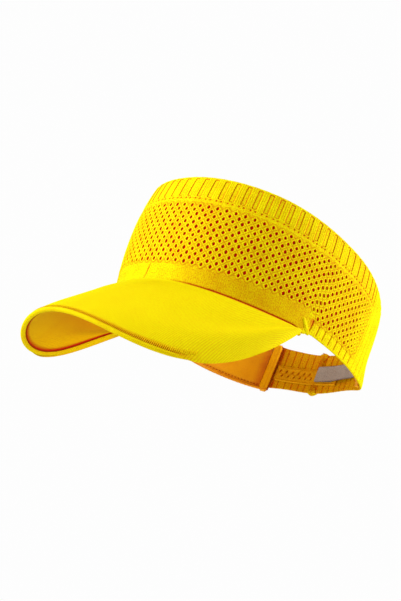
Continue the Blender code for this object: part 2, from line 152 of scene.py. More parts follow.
def upper_edge(a):
    r = np.radians(a)
    dip = REAR_DIP_RIGHT * bell(wrapped(a) - REAR_DIP_AT, REAR_DIP_SPREAD)
    return (around(a, HEIGHT_FRONT, HEIGHT_SIDE, HEIGHT_BACK)
            - HEIGHT_SKEW * np.sin(r) ** 2 * np.cos(r) - dip)


def band(a, z, depth):
    """Points at a height and a depth in from the outside of the knit."""
    a, z, depth = np.broadcast_arrays(np.asarray(a, float), z, depth)
    base = oval(a)
    h = np.maximum(z / upper_edge(a), 0.0)
    swell = around(a, BULGE_FRONT, BULGE_SIDE, 0.0) * 4 * h * (1 - np.minimum(h, 1.0))
    opened = np.maximum((h - FLARE_FROM) / (1 - FLARE_FROM), 0.0) ** FLARE_POWER
    flare = FLARE * (1 - ease((folded(a) - FLARE_FADES_AT) / FLARE_FADE)) * opened
    belly = BELLY * bell(wrapped(a) - BELLY_AT, BELLY_SPREAD) * bell(z + 1.0, BELLY_HEIGHT)
    sunk = depth + RIM_TURN * h ** RIM_TURN_POWER - swell - flare - belly
    k = 1 - sunk / np.linalg.norm(base, axis=-1)
    return np.stack([base[..., 0] * k, base[..., 1] * k, z], -1)


def height_at(a, fraction):
    low = lower_edge(a)
    return low + fraction * (upper_edge(a) - low)


def hem_low(a):
    """The knit's own lower edge, pulled down a little at the brim's two corners."""
    return lower_edge(a) - CORNER_DIP * bell((folded(a) - BRIM_CORNER) * MM_PER_DEGREE, CORNER_DIP_SPREAD)


def zone_top(a):
    """Top of the plain panel and the side hems, as a fraction of the wall's height."""
    a = folded(a)
    plain = PLAIN_TOP + PLAIN_TOP_RISE * np.minimum(a / BRIM_CORNER, 1.0) ** 2
    return plain + (HEM_TOP - plain) * np.clip((a - BRIM_CORNER - 0.2) / 4.0, 0.0, 1.0)


def edge_drop(a):
    """Drop of the leading edge: a natural spline through seven even stops."""
    stops = np.array([0.0, *BRIM_DROP_RIGHT[::-1], BRIM_DROP_FRONT, *BRIM_DROP_LEFT, 0.0])
    n = len(stops) - 1
    h = 2.0 / n
    system = np.eye(n + 1)
    rhs = np.zeros(n + 1)
    for i in range(1, n):
        system[i, i - 1:i + 2] = (1, 4, 1)
        rhs[i] = 6 * (stops[i - 1] - 2 * stops[i] + stops[i + 1]) / (h * h)
    bend = np.linalg.solve(system, rhs)
    x = (np.asarray(a, float) / BRIM_CORNER + 1) / h
    i = np.clip(x.astype(int), 0, n - 1)
    b = x - i
    g = 1 - b
    curved = ((g ** 3 - g) * bend[i] + (b ** 3 - b) * bend[i + 1]) * h * h / 6
    return g * stops[i] + b * stops[i + 1] + curved


def brim_reach(a):
    u = np.minimum(np.abs(a) / BRIM_CORNER, 1.0)
    return BRIM_REACH * (1 - u ** BRIM_ROUNDNESS) ** BRIM_TAPER


def brim_middle(a, v):
    """Middle of the brim's thickness: v runs from 0 at the seam to 1 at the leading edge."""
    a, v = np.broadcast_arrays(np.asarray(a, float), np.asarray(v, float))
    root = oval(a)
    u = np.minimum(np.abs(a) / BRIM_CORNER, 1.0)
    k = 1 + v * brim_reach(a) / np.linalg.norm(root, axis=-1)
    q = BRIM_CROWN_POWER
    hump = v ** q * (1 - v) * (1 + q) ** (1 + q) / q ** q
    crown = hump * (BRIM_CROWN * (1 - u * u) + BRIM_CROWN_SIDE * 4 * u * u * (1 - u * u))
    sag = CORNER_SAG * bell(brim_reach(a), CORNER_SAG_REACH)
    z = hem_low(a) * (1 - v) - (edge_drop(a) + sag) * v + crown
    return np.stack([root[..., 0] * k, root[..., 1] * k, z], -1)


def unit(v):
    return v / np.maximum(np.linalg.norm(v, axis=-1, keepdims=True), 1e-9)


def inward(points):
    """Level directions from places on the band towards the middle of the head."""
    return unit(points * [-1, -1, 0])


def brim_axes(a, v):
    """Directions at a point of the brim: out towards the edge, and up off its surface."""
    a0 = np.clip(a, -BRIM_CORNER + 0.2, BRIM_CORNER - 0.2)
    v0 = np.clip(v, 0.002, 0.998)
    along = brim_middle(a0 + 0.05, v0) - brim_middle(a0 - 0.05, v0)
    out = brim_middle(a0, v0 + 0.002) - brim_middle(a0, v0 - 0.002)
    return unit(out), unit(np.cross(out, along))


def brim_length(a):
    steps = np.linspace(0, 1, 9)
    points = brim_middle(np.asarray(a, float)[..., None], steps)
    return np.linalg.norm(np.diff(points, axis=-2), axis=-1).sum(-1)


def brim_point(a, v, below):
    """Point at a distance below the brim's top, which meets the band's outside at the seam."""
    rise = BRIM_STACK / 2 * ease(v / 0.3)
    return brim_middle(a, v) + brim_axes(a, v)[1] * (rise - below)[..., None]


def edge_scale(a):
    """Millimetres inside the leading edge for each unit of v."""
    along = unit(brim_middle(a + 0.2, 1.0) - brim_middle(a - 0.2, 1.0))
    out = brim_axes(a, np.ones_like(a))[0]
    return np.linalg.norm(np.cross(out, along), axis=-1) * brim_length(a)


def edge_v(a, inset):
    """v of the line that runs a distance inside the leading edge."""
    return np.maximum(1 - inset / edge_scale(a), 0.1)


# Length round the band at mid height, and the angle at a length
ANGLES = np.linspace(-200.0, 200.0, 8001)
ROUND = np.concatenate([[0], np.cumsum(np.linalg.norm(np.diff(band(ANGLES, 35.0, 0.0), axis=0), axis=1))])
ROUND -= np.interp(0.0, ANGLES, ROUND)
GIRTH = np.interp(180.0, ANGLES, ROUND) * 2
RIB_PITCH = GIRTH / (2 * round(GIRTH / 2 / RIB))


def length_at(a):
    return np.interp(a, ANGLES, ROUND)


def angle_at(s):
    return np.interp(s, ROUND, ANGLES)


# --- mesh making --------------------

def grid_faces(n, m, first=0):
    i = first + (np.arange(n - 1)[:, None] * m + np.arange(m - 1)[None, :]).reshape(-1)
    return np.stack([i, i + m, i + m + 1, i + 1], -1)


def border(n, m):
    """The grid's rim, in the direction its faces run."""
    i, j = np.arange(n), np.arange(m)
    return np.concatenate([i * m, (n - 1) * m + j[1:], i[::-1][1:] * m + m - 1, j[::-1][1:-1]])


def rim_faces(loop_a, loop_b):
    a, b = np.asarray(loop_a), np.asarray(loop_b)
    return np.stack([np.roll(a, -1), a, b, np.roll(b, -1)], -1)


def volume(points, faces):
    p = [points[faces[:, k]] for k in range(faces.shape[1])]
    total = 0.0
    for k in range(1, faces.shape[1] - 1):
        total += (p[0] * np.cross(p[k], p[k + 1])).sum()
    return total


def make(name, points, faces, material, body="visor", slot=None, replaces=(), deep=None, cloth=None,
         sharp=45.0):
    """One piece from points in millimetres and lists of faces; cloth drives its material's patterns, and
    deep drives its painted shade in grooves, holes and seams.
    """
    points = np.asarray(points, float)
    groups = [np.asarray(f) for f in (faces if isinstance(faces, list) else [faces])]
    if sum(volume(points, f) for f in groups) < 0:
        groups = [f[:, ::-1] for f in groups]
    mesh = bpy.data.meshes.new(name)
    mesh.from_pydata((points * MM).tolist(), [], [f for g in groups for f in g.tolist()])
    mesh.shade_smooth()
    mesh.set_sharp_from_angle(angle=math.radians(sharp))
    if deep is None:
        deep = np.zeros(len(points))
    if cloth is None:
        cloth = points
    layer = mesh.attributes.new("deep", "FLOAT", "POINT")
    layer.data.foreach_set("value", np.asarray(deep, np.float32).ravel())
    layer = mesh.attributes.new("cloth", "FLOAT_VECTOR", "POINT")
    layer.data.foreach_set("vector", np.asarray(cloth, np.float32).ravel())
    obj = bpy.data.objects.new(name, mesh)
    bpy.context.scene.collection.objects.link(obj)
    mesh.materials.append(material)
    if body:
        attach(obj, body)
    if replaces:
        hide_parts(*replaces)
    return obj


def on_cloth(across, along):
    """Places on the flat cloth, in millimetres, that the materials' patterns follow."""
    return np.stack(np.broadcast_arrays(across, along, 0.0), -1)


def tube_faces(n, m):
    """Faces of a closed tube: n rings of m points, capped at both ends."""
    i, k = np.meshgrid(np.arange(n - 1), np.arange(m), indexing="ij")
    a, b = i * m + k, i * m + (k + 1) % m
    quads = np.stack([a, b, b + m, a + m], -1).reshape(-1, 4)
    caps = np.arange(m)[None, :]
    return [quads, caps[:, ::-1], caps + (n - 1) * m]


def sheet_body(name, outer, inner, material, deep_out=0.0, deep_in=0.0, cloth=None, **more):
    """A closed sheet between two grids of points."""
    n, m = outer.shape[:2]
    total = n * m
    loop = border(n, m)
    faces = [grid_faces(n, m), grid_faces(n, m, total)[:, ::-1], rim_faces(loop, loop + total)]
    deep = np.concatenate([np.broadcast_to(d, (n, m)).reshape(-1) for d in (deep_out, deep_in)])
    if cloth is not None:
        cloth = np.broadcast_to(cloth, (n, m, 3)).reshape(-1, 3)
        cloth = np.concatenate([cloth, cloth])
    points = np.concatenate([outer.reshape(-1, 3), inner.reshape(-1, 3)])
    return make(name, points, faces, material, deep=deep, cloth=cloth, **more)


def band_sheet(name, s, z, outside, inside, material, deep_out, deep_in, **more):
    """A sheet on the band: lengths round it and heights, and how deep its two faces lie."""
    a = angle_at(s)
    return sheet_body(name, band(a, z, outside), band(a, z, inside), material, deep_out, deep_in,
                      on_cloth(s, z), **more)


def bars(name, starts, ends, lift, radius, material, sides=6, **more):
    """Many short stitches: each a rounded bar bowed along lift between a start and an end."""
    starts, ends, lift = (np.asarray(x, float) for x in (starts, ends, lift))
    count = len(starts)
    along = unit(ends - starts)
    up = unit(lift - along * (lift * along).sum(-1, keepdims=True))
    across = np.cross(along, up)
    t = np.array([0.0, 0.06, 0.25, 0.5, 0.75, 0.94, 1.0])
    wide = np.array([0.25, 0.75, 1.0, 1.0, 1.0, 0.75, 0.25])
    height = np.linalg.norm(lift, axis=-1)
    turn = np.linspace(0, 2 * np.pi, sides, endpoint=False)
    centre = starts[:, None] + (ends - starts)[:, None] * t[None, :, None]
    centre = centre + up[:, None] * (np.sin(np.pi * t)[None, :] * height[:, None])[..., None]
    ring = (np.cos(turn)[None, None, :, None] * across[:, None, None]
            + np.sin(turn)[None, None, :, None] * up[:, None, None])
    points = centre[:, :, None] + ring * (wide * radius)[None, :, None, None]
    m = len(t)
    i, j, k = np.meshgrid(np.arange(count), np.arange(m - 1), np.arange(sides), indexing="ij")
    base = i * m * sides
    a = base + j * sides + k
    b = base + j * sides + (k + 1) % sides
    quads = np.stack([a, b, b + sides, a + sides], -1).reshape(-1, 4)
    caps = np.arange(count)[:, None] * m * sides + np.arange(sides)[None, :]
    ends_ = caps + (m - 1) * sides
    faces = [quads, caps[:, ::-1], ends_]
    length = np.linalg.norm(ends - starts, axis=-1)
    cloth = np.stack(np.broadcast_arrays(
        (np.arange(count) * 7.3)[:, None, None] + t[None, :, None] * length[:, None, None],
        turn[None, None, :] * radius, np.zeros((count, m, sides))), -1)
    return make(name, points.reshape(-1, 3), faces, material, cloth=cloth.reshape(-1, 3), **more)


def band_stitches(name, start, end, bow, radius, material, **more):
    """Stitches that bow inwards between two places on the band, each a length, height and depth."""
    first, last = (band(angle_at(s), z, depth) for s, z, depth in (start, end))
    return bars(name, first, last, inward(first) * bow, radius, material, **{"slot": "thread", **more})


def tube(name, path, radius, material, sides=10, squash=1.0, up=(0, 0, 1), **more):
    """A closed round cord along a path, its radius a number or one for each point."""
    path = np.asarray(path, float)
    along = unit(np.gradient(path, axis=0))
    side = unit(np.cross(along, np.asarray(up, float)))
    top = np.cross(side, along)
    turn = np.linspace(0, 2 * np.pi, sides, endpoint=False)
    r = np.broadcast_to(radius, (len(path),))[:, None, None]
    points = path[:, None] + r * (np.cos(turn)[None, :, None] * side[:, None] * squash
                                  + np.sin(turn)[None, :, None] * top[:, None])
    length = np.concatenate([[0], np.cumsum(np.linalg.norm(np.diff(path, axis=0), axis=1))])
    cloth = on_cloth(length[:, None], turn[None, :] * np.mean(radius))
    return make(name, points.reshape(-1, 3), tube_faces(len(path), sides), material,
                cloth=cloth.reshape(-1, 3), **more)


# --- materials --------------------

class Nodes:
    """Short calls for building a material's node tree."""

    def __init__(self, material):
        self.tree = material.node_tree

    def add(self, kind, *inputs, **settings):
        node = self.tree.nodes.new("ShaderNode" + kind)
        for key, value in settings.items():
            setattr(node, key, value)
        for socket, value in zip(node.inputs, inputs):
            if value is None:
                continue
            if isinstance(value, bpy.types.NodeSocket):
                self.tree.links.new(value, socket)
            else:
                socket.default_value = value
        return node

    def math(self, operation, a, b=None, c=None):
        return self.add("Math", a, b, c, operation=operation).outputs[0]

    def wave(self, a, period):
        return self.math("SINE", self.math("MULTIPLY", a, 2 * math.pi / period))

    def ranged(self, value, low, high, new_low, new_high):
        return self.add("MapRange", value, low, high, new_low, new_high).outputs[0]

    def noise(self, vector, scale, detail):
        node = self.add("TexNoise", vector, noise_dimensions="3D")
        node.inputs["Scale"].default_value = scale
        node.inputs["Detail"].default_value = detail
        return node.outputs["Fac"]


def knit_height(n, u, v):
    """Interlocking stitches: columns of small chevrons."""
    column = n.wave(u, 1.1)
    slant = n.math("PINGPONG", u, 0.55)
    course = n.wave(n.math("ADD", v, slant), 0.9)
    return n.math("ADD", n.math("MULTIPLY", column, 0.5), n.math("MULTIPLY", course, 0.5))


def twill_height(n, u, v):
    """Fine diagonal lines."""
    return n.wave(n.math("ADD", u, n.math("MULTIPLY", v, 0.6)), 0.7)


def weave_height(n, u, v):
    """Plain over-and-under weave."""
    return n.math("MULTIPLY", n.wave(u, 0.9), n.wave(v, 0.9))


def thread_height(n, u, v):
    """Twisted ply."""
    return n.wave(n.math("ADD", u, v), 0.5)


def fuzz_height(n, u, v):
    """No order of its own: brushed fibres."""
    return n.math("MULTIPLY", n.math("SINE", n.math("MULTIPLY", u, 9.0)), 0.1)


def cloth_material(name, colour, middle, dark, roughness, height, strength, bump=0.05, sheen=0.03,
                   mottle=0.25, mottle_size=1.2, fibre=0.3, specular=0.04, mark=0.45, drift=0.12):
    """Cloth whose colour is darkened as painted shade with the depth of its grooves and holes, and in the
    low parts of its stitch pattern.
    """
    made = bpy.data.materials.new(name)
    made.use_nodes = True
    n = Nodes(made)
    shader = n.tree.nodes["Principled BSDF"]
    deep = n.add("Attribute", attribute_name="deep").outputs["Fac"]
    cloth = n.add("Attribute", attribute_name="cloth").outputs["Vector"]
    split = n.add("SeparateXYZ", cloth)
    u, v = split.outputs[0], split.outputs[1]
    pattern = height(n, u, v)
    fine = n.noise(cloth, 4.0, 4.0)
    spots = n.ranged(n.noise(cloth, 1.0 / mottle_size, 3.0), 0.45, 0.75, 0.0, mottle)
    wander = n.ranged(n.noise(cloth, 0.09, 2.0), 0.35, 0.7, 0.0, drift)
    lines = n.ranged(pattern, -0.2, -1.0, 0.0, strength)
    # spots and wander are the cloth's own uneven tone; lines and deep are painted shade
    shade = n.math("ADD", n.math("ADD", spots, wander), n.math("ADD", lines, deep))
    ramp = n.add("ValToRGB", shade)
    stops = ramp.color_ramp.elements
    stops[0].position, stops[0].color = 0.0, (*colour, 1.0)
    stops[1].position, stops[1].color = 1.0, (*dark, 1.0)
    stops.new(mark).color = (*middle, 1.0)
    n.tree.links.new(ramp.outputs[0], shader.inputs["Base Color"])
    rough = n.ranged(fine, 0.3, 0.7, roughness - 0.06, roughness + 0.08)
    n.tree.links.new(rough, shader.inputs["Roughness"])
    relief = n.math("ADD", pattern, n.math("MULTIPLY", fine, fibre * 4))
    bumped = n.add("Bump")
    bumped.inputs["Strength"].default_value = 0.6
    bumped.inputs["Distance"].default_value = bump * MM
    n.tree.links.new(relief, bumped.inputs["Height"])
    n.tree.links.new(bumped.outputs[0], shader.inputs["Normal"])
    shader.inputs["Sheen Weight"].default_value = sheen
    shader.inputs["Sheen Roughness"].default_value = 0.5
    shader.inputs["Sheen Tint"].default_value = (*colour, 1.0)
    shader.inputs["Specular IOR Level"].default_value = specular
    return made


# YELLOW is the knit's own colour; GOLD is the ramps' middle stop, reached partly by the cloth's ochre
# mottle and partly by painted shade; the third colour is the painted shade at the bottom of the deepest
# grooves and holes
YELLOW, GOLD, SHADE_RED = (0.92, 0.88, 0.0), (0.72, 0.40, 0.0), (0.58, 0.008, 0.003)
# AMBER, DEEP_AMBER and BROWN are the ramp colours for cloth inside the band; BROWN is the painted shade
# at the bottom of their grooves
AMBER, DEEP_AMBER, BROWN = (0.92, 0.42, 0.0), (0.70, 0.19, 0.0), (0.34, 0.012, 0.0)

knit = cloth_material("knit", YELLOW, GOLD, SHADE_RED, 0.8, knit_height, 0.10, mottle=0.42, mottle_size=0.9)
brim_top = cloth_material("brim_cloth_top", (0.82, 0.75, 0.0), GOLD, SHADE_RED, 0.78, weave_height, 0.06,
                          mottle=0.08, drift=0.03)
# the underside's base and middle colours are darker and oranger than the top's: partly painted shade
brim_under = cloth_material("brim_cloth_under", (0.80, 0.50, 0.0), (0.58, 0.17, 0.0), SHADE_RED, 0.8,
                            twill_height, 0.06, mottle=0.08, drift=0.04)
edge_cloth = cloth_material("brim_edge_cloth", (0.86, 0.74, 0.0), GOLD, SHADE_RED, 0.75, weave_height, 0.05,
                            mottle=0.1)
bright_thread = cloth_material("bright_thread", (0.95, 0.70, 0.0), GOLD, SHADE_RED, 0.6, thread_height, 0.3,
                               mottle=0.1)
# the amber and the dark thread are the thread's colour darkened as painted shade, for stitches inside the
# band, under the brim and down in grooves
shade_amber_thread = cloth_material("shade_amber_thread", (0.70, 0.30, 0.0), DEEP_AMBER, BROWN, 0.6, thread_height,
                              0.3, mottle=0.1)
shade_dark_thread = cloth_material("shade_dark_thread", (0.42, 0.06, 0.0), (0.35, 0.04, 0.0), BROWN, 0.6,
                             thread_height, 0.3, mottle=0.1)
# the satin, its hem and the loop pile are coloured orange: partly their own colour, partly painted shade
# of the band's inside
satin = cloth_material("sweatband_satin", AMBER, DEEP_AMBER, BROWN, 0.5, twill_height, 0.05, bump=0.02,
                       mottle=0.08, sheen=0.1, specular=0.2)
hem_satin = cloth_material("sweatband_hem", (1.0, 0.52, 0.0), DEEP_AMBER, BROWN, 0.6, twill_height, 0.05,
                           bump=0.02, mottle=0.1, sheen=0.05, specular=0.1)
brushed = cloth_material("loop_pile", (0.98, 0.56, 0.01), (0.68, 0.27, 0.0), BROWN, 0.95, fuzz_height,
                         0.1, bump=0.25, mottle=0.35, mottle_size=0.6, fibre=0.8)
padding = cloth_material("padding", (0.90, 0.78, 0.45), (0.75, 0.60, 0.30), (0.4, 0.3, 0.1), 0.95,
                         fuzz_height, 0.1, bump=0.2, mottle=0.3, mottle_size=0.8, fibre=0.8)
GREY, MID_GREY, DARK_GREY = (0.49, 0.46, 0.43), (0.30, 0.26, 0.23), (0.10, 0.05, 0.04)
webbing = cloth_material("strap_webbing", GREY, MID_GREY, DARK_GREY, 0.85, weave_height, 0.2, bump=0.08,
                         mottle=0.5, mottle_size=0.7, fibre=0.6, specular=0.2)
hooks = cloth_material("hook_plastic", (0.26, 0.24, 0.23), (0.18, 0.16, 0.15), DARK_GREY, 0.45,
                       fuzz_height, 0.1, mottle=0.2, sheen=0.0, specular=0.5)
board = cloth_material("board_plastic", (0.80, 0.78, 0.70), (0.6, 0.57, 0.5), (0.3, 0.28, 0.25), 0.5,
                       fuzz_height, 0.05, mottle=0.15, sheen=0.0, specular=0.4)


# --- the knitted wall --------------------

def rib_stops(start, end):
    """Lengths round the band with enough stops to draw each rib, from start to end."""
    half = np.array([0, 0.05, 0.10, 0.15, 0.22, 0.29, 0.333, 0.376, 0.43, 0.5])
    cycle = np.concatenate([half, 1 - half[-2:0:-1]])
    first, last = math.floor(start / RIB_PITCH), math.ceil(end / RIB_PITCH)
    s = (np.arange(first, last)[:, None] + cycle[None, :]).reshape(-1) * RIB_PITCH
    inside = s[(s > start + 0.05) & (s < end - 0.05)]
    return np.concatenate([[start], inside, [end]])


def rib_relief(s, phase=0.0, depth=0.7):
    """How far a rib's surface lies in, and how much painted shade its groove gets, at a length round the
    band.
    """
    x = (s / RIB_PITCH + phase) % 1.0
    x = np.minimum(x, 1 - x) * RIB_PITCH
    groove = bell(x, 0.42)
    fine = bell(x - RIB_PITCH / 3, 0.25)
    crown = 0.5 - 0.5 * np.cos(2 * np.pi * x / RIB_PITCH)
    return depth * groove + 0.14 * fine - 0.22 * crown, 0.85 * groove + 0.22 * fine


def quarter_round(distance, radius, least=0.03):
    """Share of the full thickness at a distance in from an edge rounded to a radius."""
    return np.sqrt(np.clip(1 - (1 - np.minimum(distance / radius, 1)) ** 2, least, 1))


def rounded(distance, thickness=WALL):
    """Half the sheet's thickness at a distance in from a rounded edge."""
    half = thickness / 2
    q = 1 - np.clip(distance / half, 0.0, 1.0)
    return half * np.sqrt(np.maximum(1 - q * q, 0.02))


INSIDE_SHADE = 0.36          # painted shade: how much darker the knit's colour is made on the inside, which lies in shadow


def knit_zone(name, node, s, rows, low, high, outside, inside, round_low=False, round_high=False):
    """A zone of the wall over lengths s and rows, given as fractions between two heights."""
    a = angle_at(s)[:, None]
    z_low, z_high = low(a), high(a)
    z = z_low + (z_high - z_low) * rows[None, :]
    half = np.full(z.shape, WALL / 2)
    if round_low:
        half = np.minimum(half, rounded(z - z_low))
    if round_high:
        half = np.minimum(half, rounded(z_high - z))
    t = (z - lower_edge(a)) / (upper_edge(a) - lower_edge(a))
    relief, deep = outside(s[:, None], t, z - z_low)
    back, back_deep = inside(s[:, None], t, z - z_low)
    share = half / (WALL / 2)
    return band_sheet(name, s[:, None], z, WALL / 2 - half + relief * share,
                      WALL / 2 + half - back * share, knit, deep, INSIDE_SHADE + back_deep, slot="knit",
                      replaces=[node])


def rows_with(*parts):
    return np.unique(np.round(np.concatenate([np.atleast_1d(p) for p in parts]), 5))


END_S = length_at(MESH_END)
CORNER_S = length_at(BRIM_CORNER + 0.2)


def cuff_low(a):
    return height_at(a, MESH_TOP)


def mesh_low(a):
    return height_at(a, zone_top(a) - MESH_LAP)


def cuff_length(r):
    """Length round the band at a rib's number: the ribs crowd together towards the back."""
    return CUFF_RIB * r - CUFF_NARROWING * r ** 3


RIB_NUMBERS = np.linspace(-30.0, 30.0, 6001)


def cuff_stops():
    """Lengths round the band with enough stops to draw each of the cuff's ribs."""
    edge = CHANNEL / 2 / CUFF_RIB
    half = np.concatenate([edge * np.array([0, 0.4, 0.7, 0.82, 0.9, 0.97, 1.04, 1.15]),
                           np.array([0.27, 0.32, 0.36, 0.385, 0.41, 0.45, 0.5])])
    cycle = np.concatenate([half, 1 - half[-2:0:-1]])
    r = (np.arange(-26, 26)[:, None] + cycle[None, :]).reshape(-1)
    s = cuff_length(r)
    inside = s[(s > -END_S + 0.1) & (s < END_S - 0.1)]
    return np.concatenate([[-END_S], inside, [END_S]])


def cuff_outside(s, t, _):
    """Raised ribs with sunk channels between, each channel's two sides ending in a small dimple; the
    channel walls and the dimples are darkened as painted shade.
    """
    r = np.interp(s, cuff_length(RIB_NUMBERS), RIB_NUMBERS)
    pitch = CUFF_RIB - 3 * CUFF_NARROWING * r ** 2
    x = np.abs((r + 0.5) % 1.0 - 0.5) * pitch
    high = (1 - t) * CUFF_WALL
    cuff = CUFF_WALL * (1 - CUFF_FROM)
    middle = (cuff + CUFF_MARGIN) / 2
    tall = middle - CUFF_MARGIN
    half = CHANNEL / 2 * pitch / CUFF_RIB
    qx, qz = x - (half - CUFF_CORNER), np.abs(high - middle) - (tall - CUFF_CORNER)
    past_corner = np.hypot(np.maximum(qx, 0), np.maximum(qz, 0))
    gap = past_corner + np.minimum(np.maximum(qx, qz), 0) - CUFF_CORNER
    sunk = 1 - ease((gap + 0.32) / 0.34)
    wall = bell(gap + 0.20, 0.23)
    on = ease((cuff + 0.6 - high) / 0.8)
    fine = bell(x - (half + 0.34 * (pitch / 2 - half) * 2), 0.24) * on
    dot = bell(np.hypot(x - half, high - cuff - 1.3), 0.5)
    row = bell(high - cuff - 1.3, 0.5) * (0.5 + 0.5 * np.cos(np.pi * s / 0.9))
    crown = 0.16 * on * ease((x - half) / 1.2)
    relief = 0.32 * sunk + 0.15 * fine + 0.45 * dot + 0.1 * row - crown
    # painted shade on the channel walls, in the dimples and the row of small dents, and a little below
    # the cuff
    deep = 0.06 * sunk + 0.85 * wall + 0.24 * fine + 1.0 * dot + 0.12 * row + 0.08 * (1 - on)
    return relief, np.clip(deep, 0, 1)


def cuff_inside(s, t, _):
    relief, deep = rib_relief(s, 0.5, 0.5)
    on = ease((t - CUFF_FROM) / 0.03)
    return relief * on, deep * on * 0.6


cuff_rows = rows_with(np.linspace(0, 0.10, 4), np.linspace(0.10, 0.36, 17), np.linspace(0.36, 0.84, 6),
                      np.linspace(0.84, 0.95, 7), 1 - np.array([0.035, 0.022, 0.012, 0.005, 0.0]))
knit_zone("rib_cuff", "knit_top_rib_cuff", cuff_stops(), cuff_rows, cuff_low, upper_edge,
          cuff_outside, cuff_inside, round_high=True)


def rear_outside(s, t, _):
    relief, deep = rib_relief(s)
    # painted shade in the rib grooves
    return 0.6 * relief, 0.2 * deep


def rear_inside(s, t, _):
    relief, deep = rib_relief(s, 0.5, 0.6)
    shadow = bell(s - length_at(-157.0), 1.0)
    return relief, np.clip(deep * 0.4 + 0.5 * shadow, 0, 0.32)


rear_rows = rows_with(np.array([0, 0.005, 0.012, 0.025, 0.05, 0.1]), np.linspace(0.1, 0.9, 9),
                      1 - np.array([0.05, 0.025, 0.012, 0.005, 0.0]))
SEAM_S = length_at(180.0) - 1.6
for side, word in ((1, "left"), (-1, "right")):
    ends = sorted((side * END_S, side * SEAM_S))
    knit_zone("rear_rib_" + word, "knit_rear_rib_" + word, rib_stops(*ends), rear_rows, lower_edge,
              upper_edge, rear_outside, rear_inside, round_low=True, round_high=True)


def hem_outside(s, t, height):
    relief, deep = rib_relief(s)
    on = ease((height - 0.8) / 0.8)
    step = bell((t - 0.118) * 70.0, 0.8)
    patch = bell(np.abs(s) - CORNER_S - 4.2, 2.2) * bell(height - 8.5, 3.5)
    # painted shade in the rib grooves and along the step, and a darker patch beside the brim's corner
    return 0.8 * relief * on + 0.25 * step, np.clip(0.75 * deep * on + 0.2 * step + 0.4 * patch, 0, 1)


def plain_inside(s, t, _):
    wales = 0.5 - 0.5 * np.cos(2 * np.pi * s / 2.2)
    return 0.1 * wales, 0.15 * (1 - wales)


hem_rows = rows_with(np.array([0, 0.02, 0.045, 0.09, 0.16, 0.25]), np.linspace(0.25, 1.0, 9))
for side, word in ((1, "left"), (-1, "right")):
    ends = sorted((side * CORNER_S, side * END_S))
    knit_zone("side_hem_" + word, "knit_side_hem_" + word, rib_stops(*ends), hem_rows, hem_low,
              mesh_low, hem_outside, plain_inside, round_low=True)


WALE = 1.5


def plain_outside(s, t, height):
    """Fine uneven wales, the seam tucked in at the brim and one small crease near the front."""
    rng = np.random.default_rng(2)
    uneven = np.interp(s, np.linspace(-CORNER_S, CORNER_S, 300), rng.uniform(0.2, 1.0, 300))
    wales = np.cos(2 * np.pi * s / WALE) * uneven
    side = ease((np.abs(s) - 15.0) / 45.0)
    tuck = bell(height, 0.5)
    slant = s - 3.4 - 0.3 * (height - 5.5)
    crease = bell(slant, 0.5) * bell(height - 5.5, 4.6)
    fold = bell(slant - 2.1, 1.3) * bell(height - 5.5, 4.6)
    relief = -0.06 * wales + (0.1 + 0.7 * side) * tuck + 0.6 * crease - 0.45 * fold
    # painted shade in the tucked seam and the crease, fading towards the front middle where the light
    # falls; the colour also darkens towards the sides and between the wales
    deep = 0.07 + 0.17 * side - 0.09 * wales + 0.9 * side * tuck + 0.95 * crease
    return relief, np.clip(deep, 0, 1)


plain_rows = rows_with(np.array([0, 0.02, 0.045, 0.075, 0.11, 0.16, 0.24]), np.linspace(0.24, 1.0, 8))
knit_zone("front_plain_panel", "knit_front_plain_panel",
          np.linspace(-CORNER_S, CORNER_S, 8 * round(CORNER_S / WALE) + 1), plain_rows, hem_low,
          mesh_low, plain_outside, plain_inside)


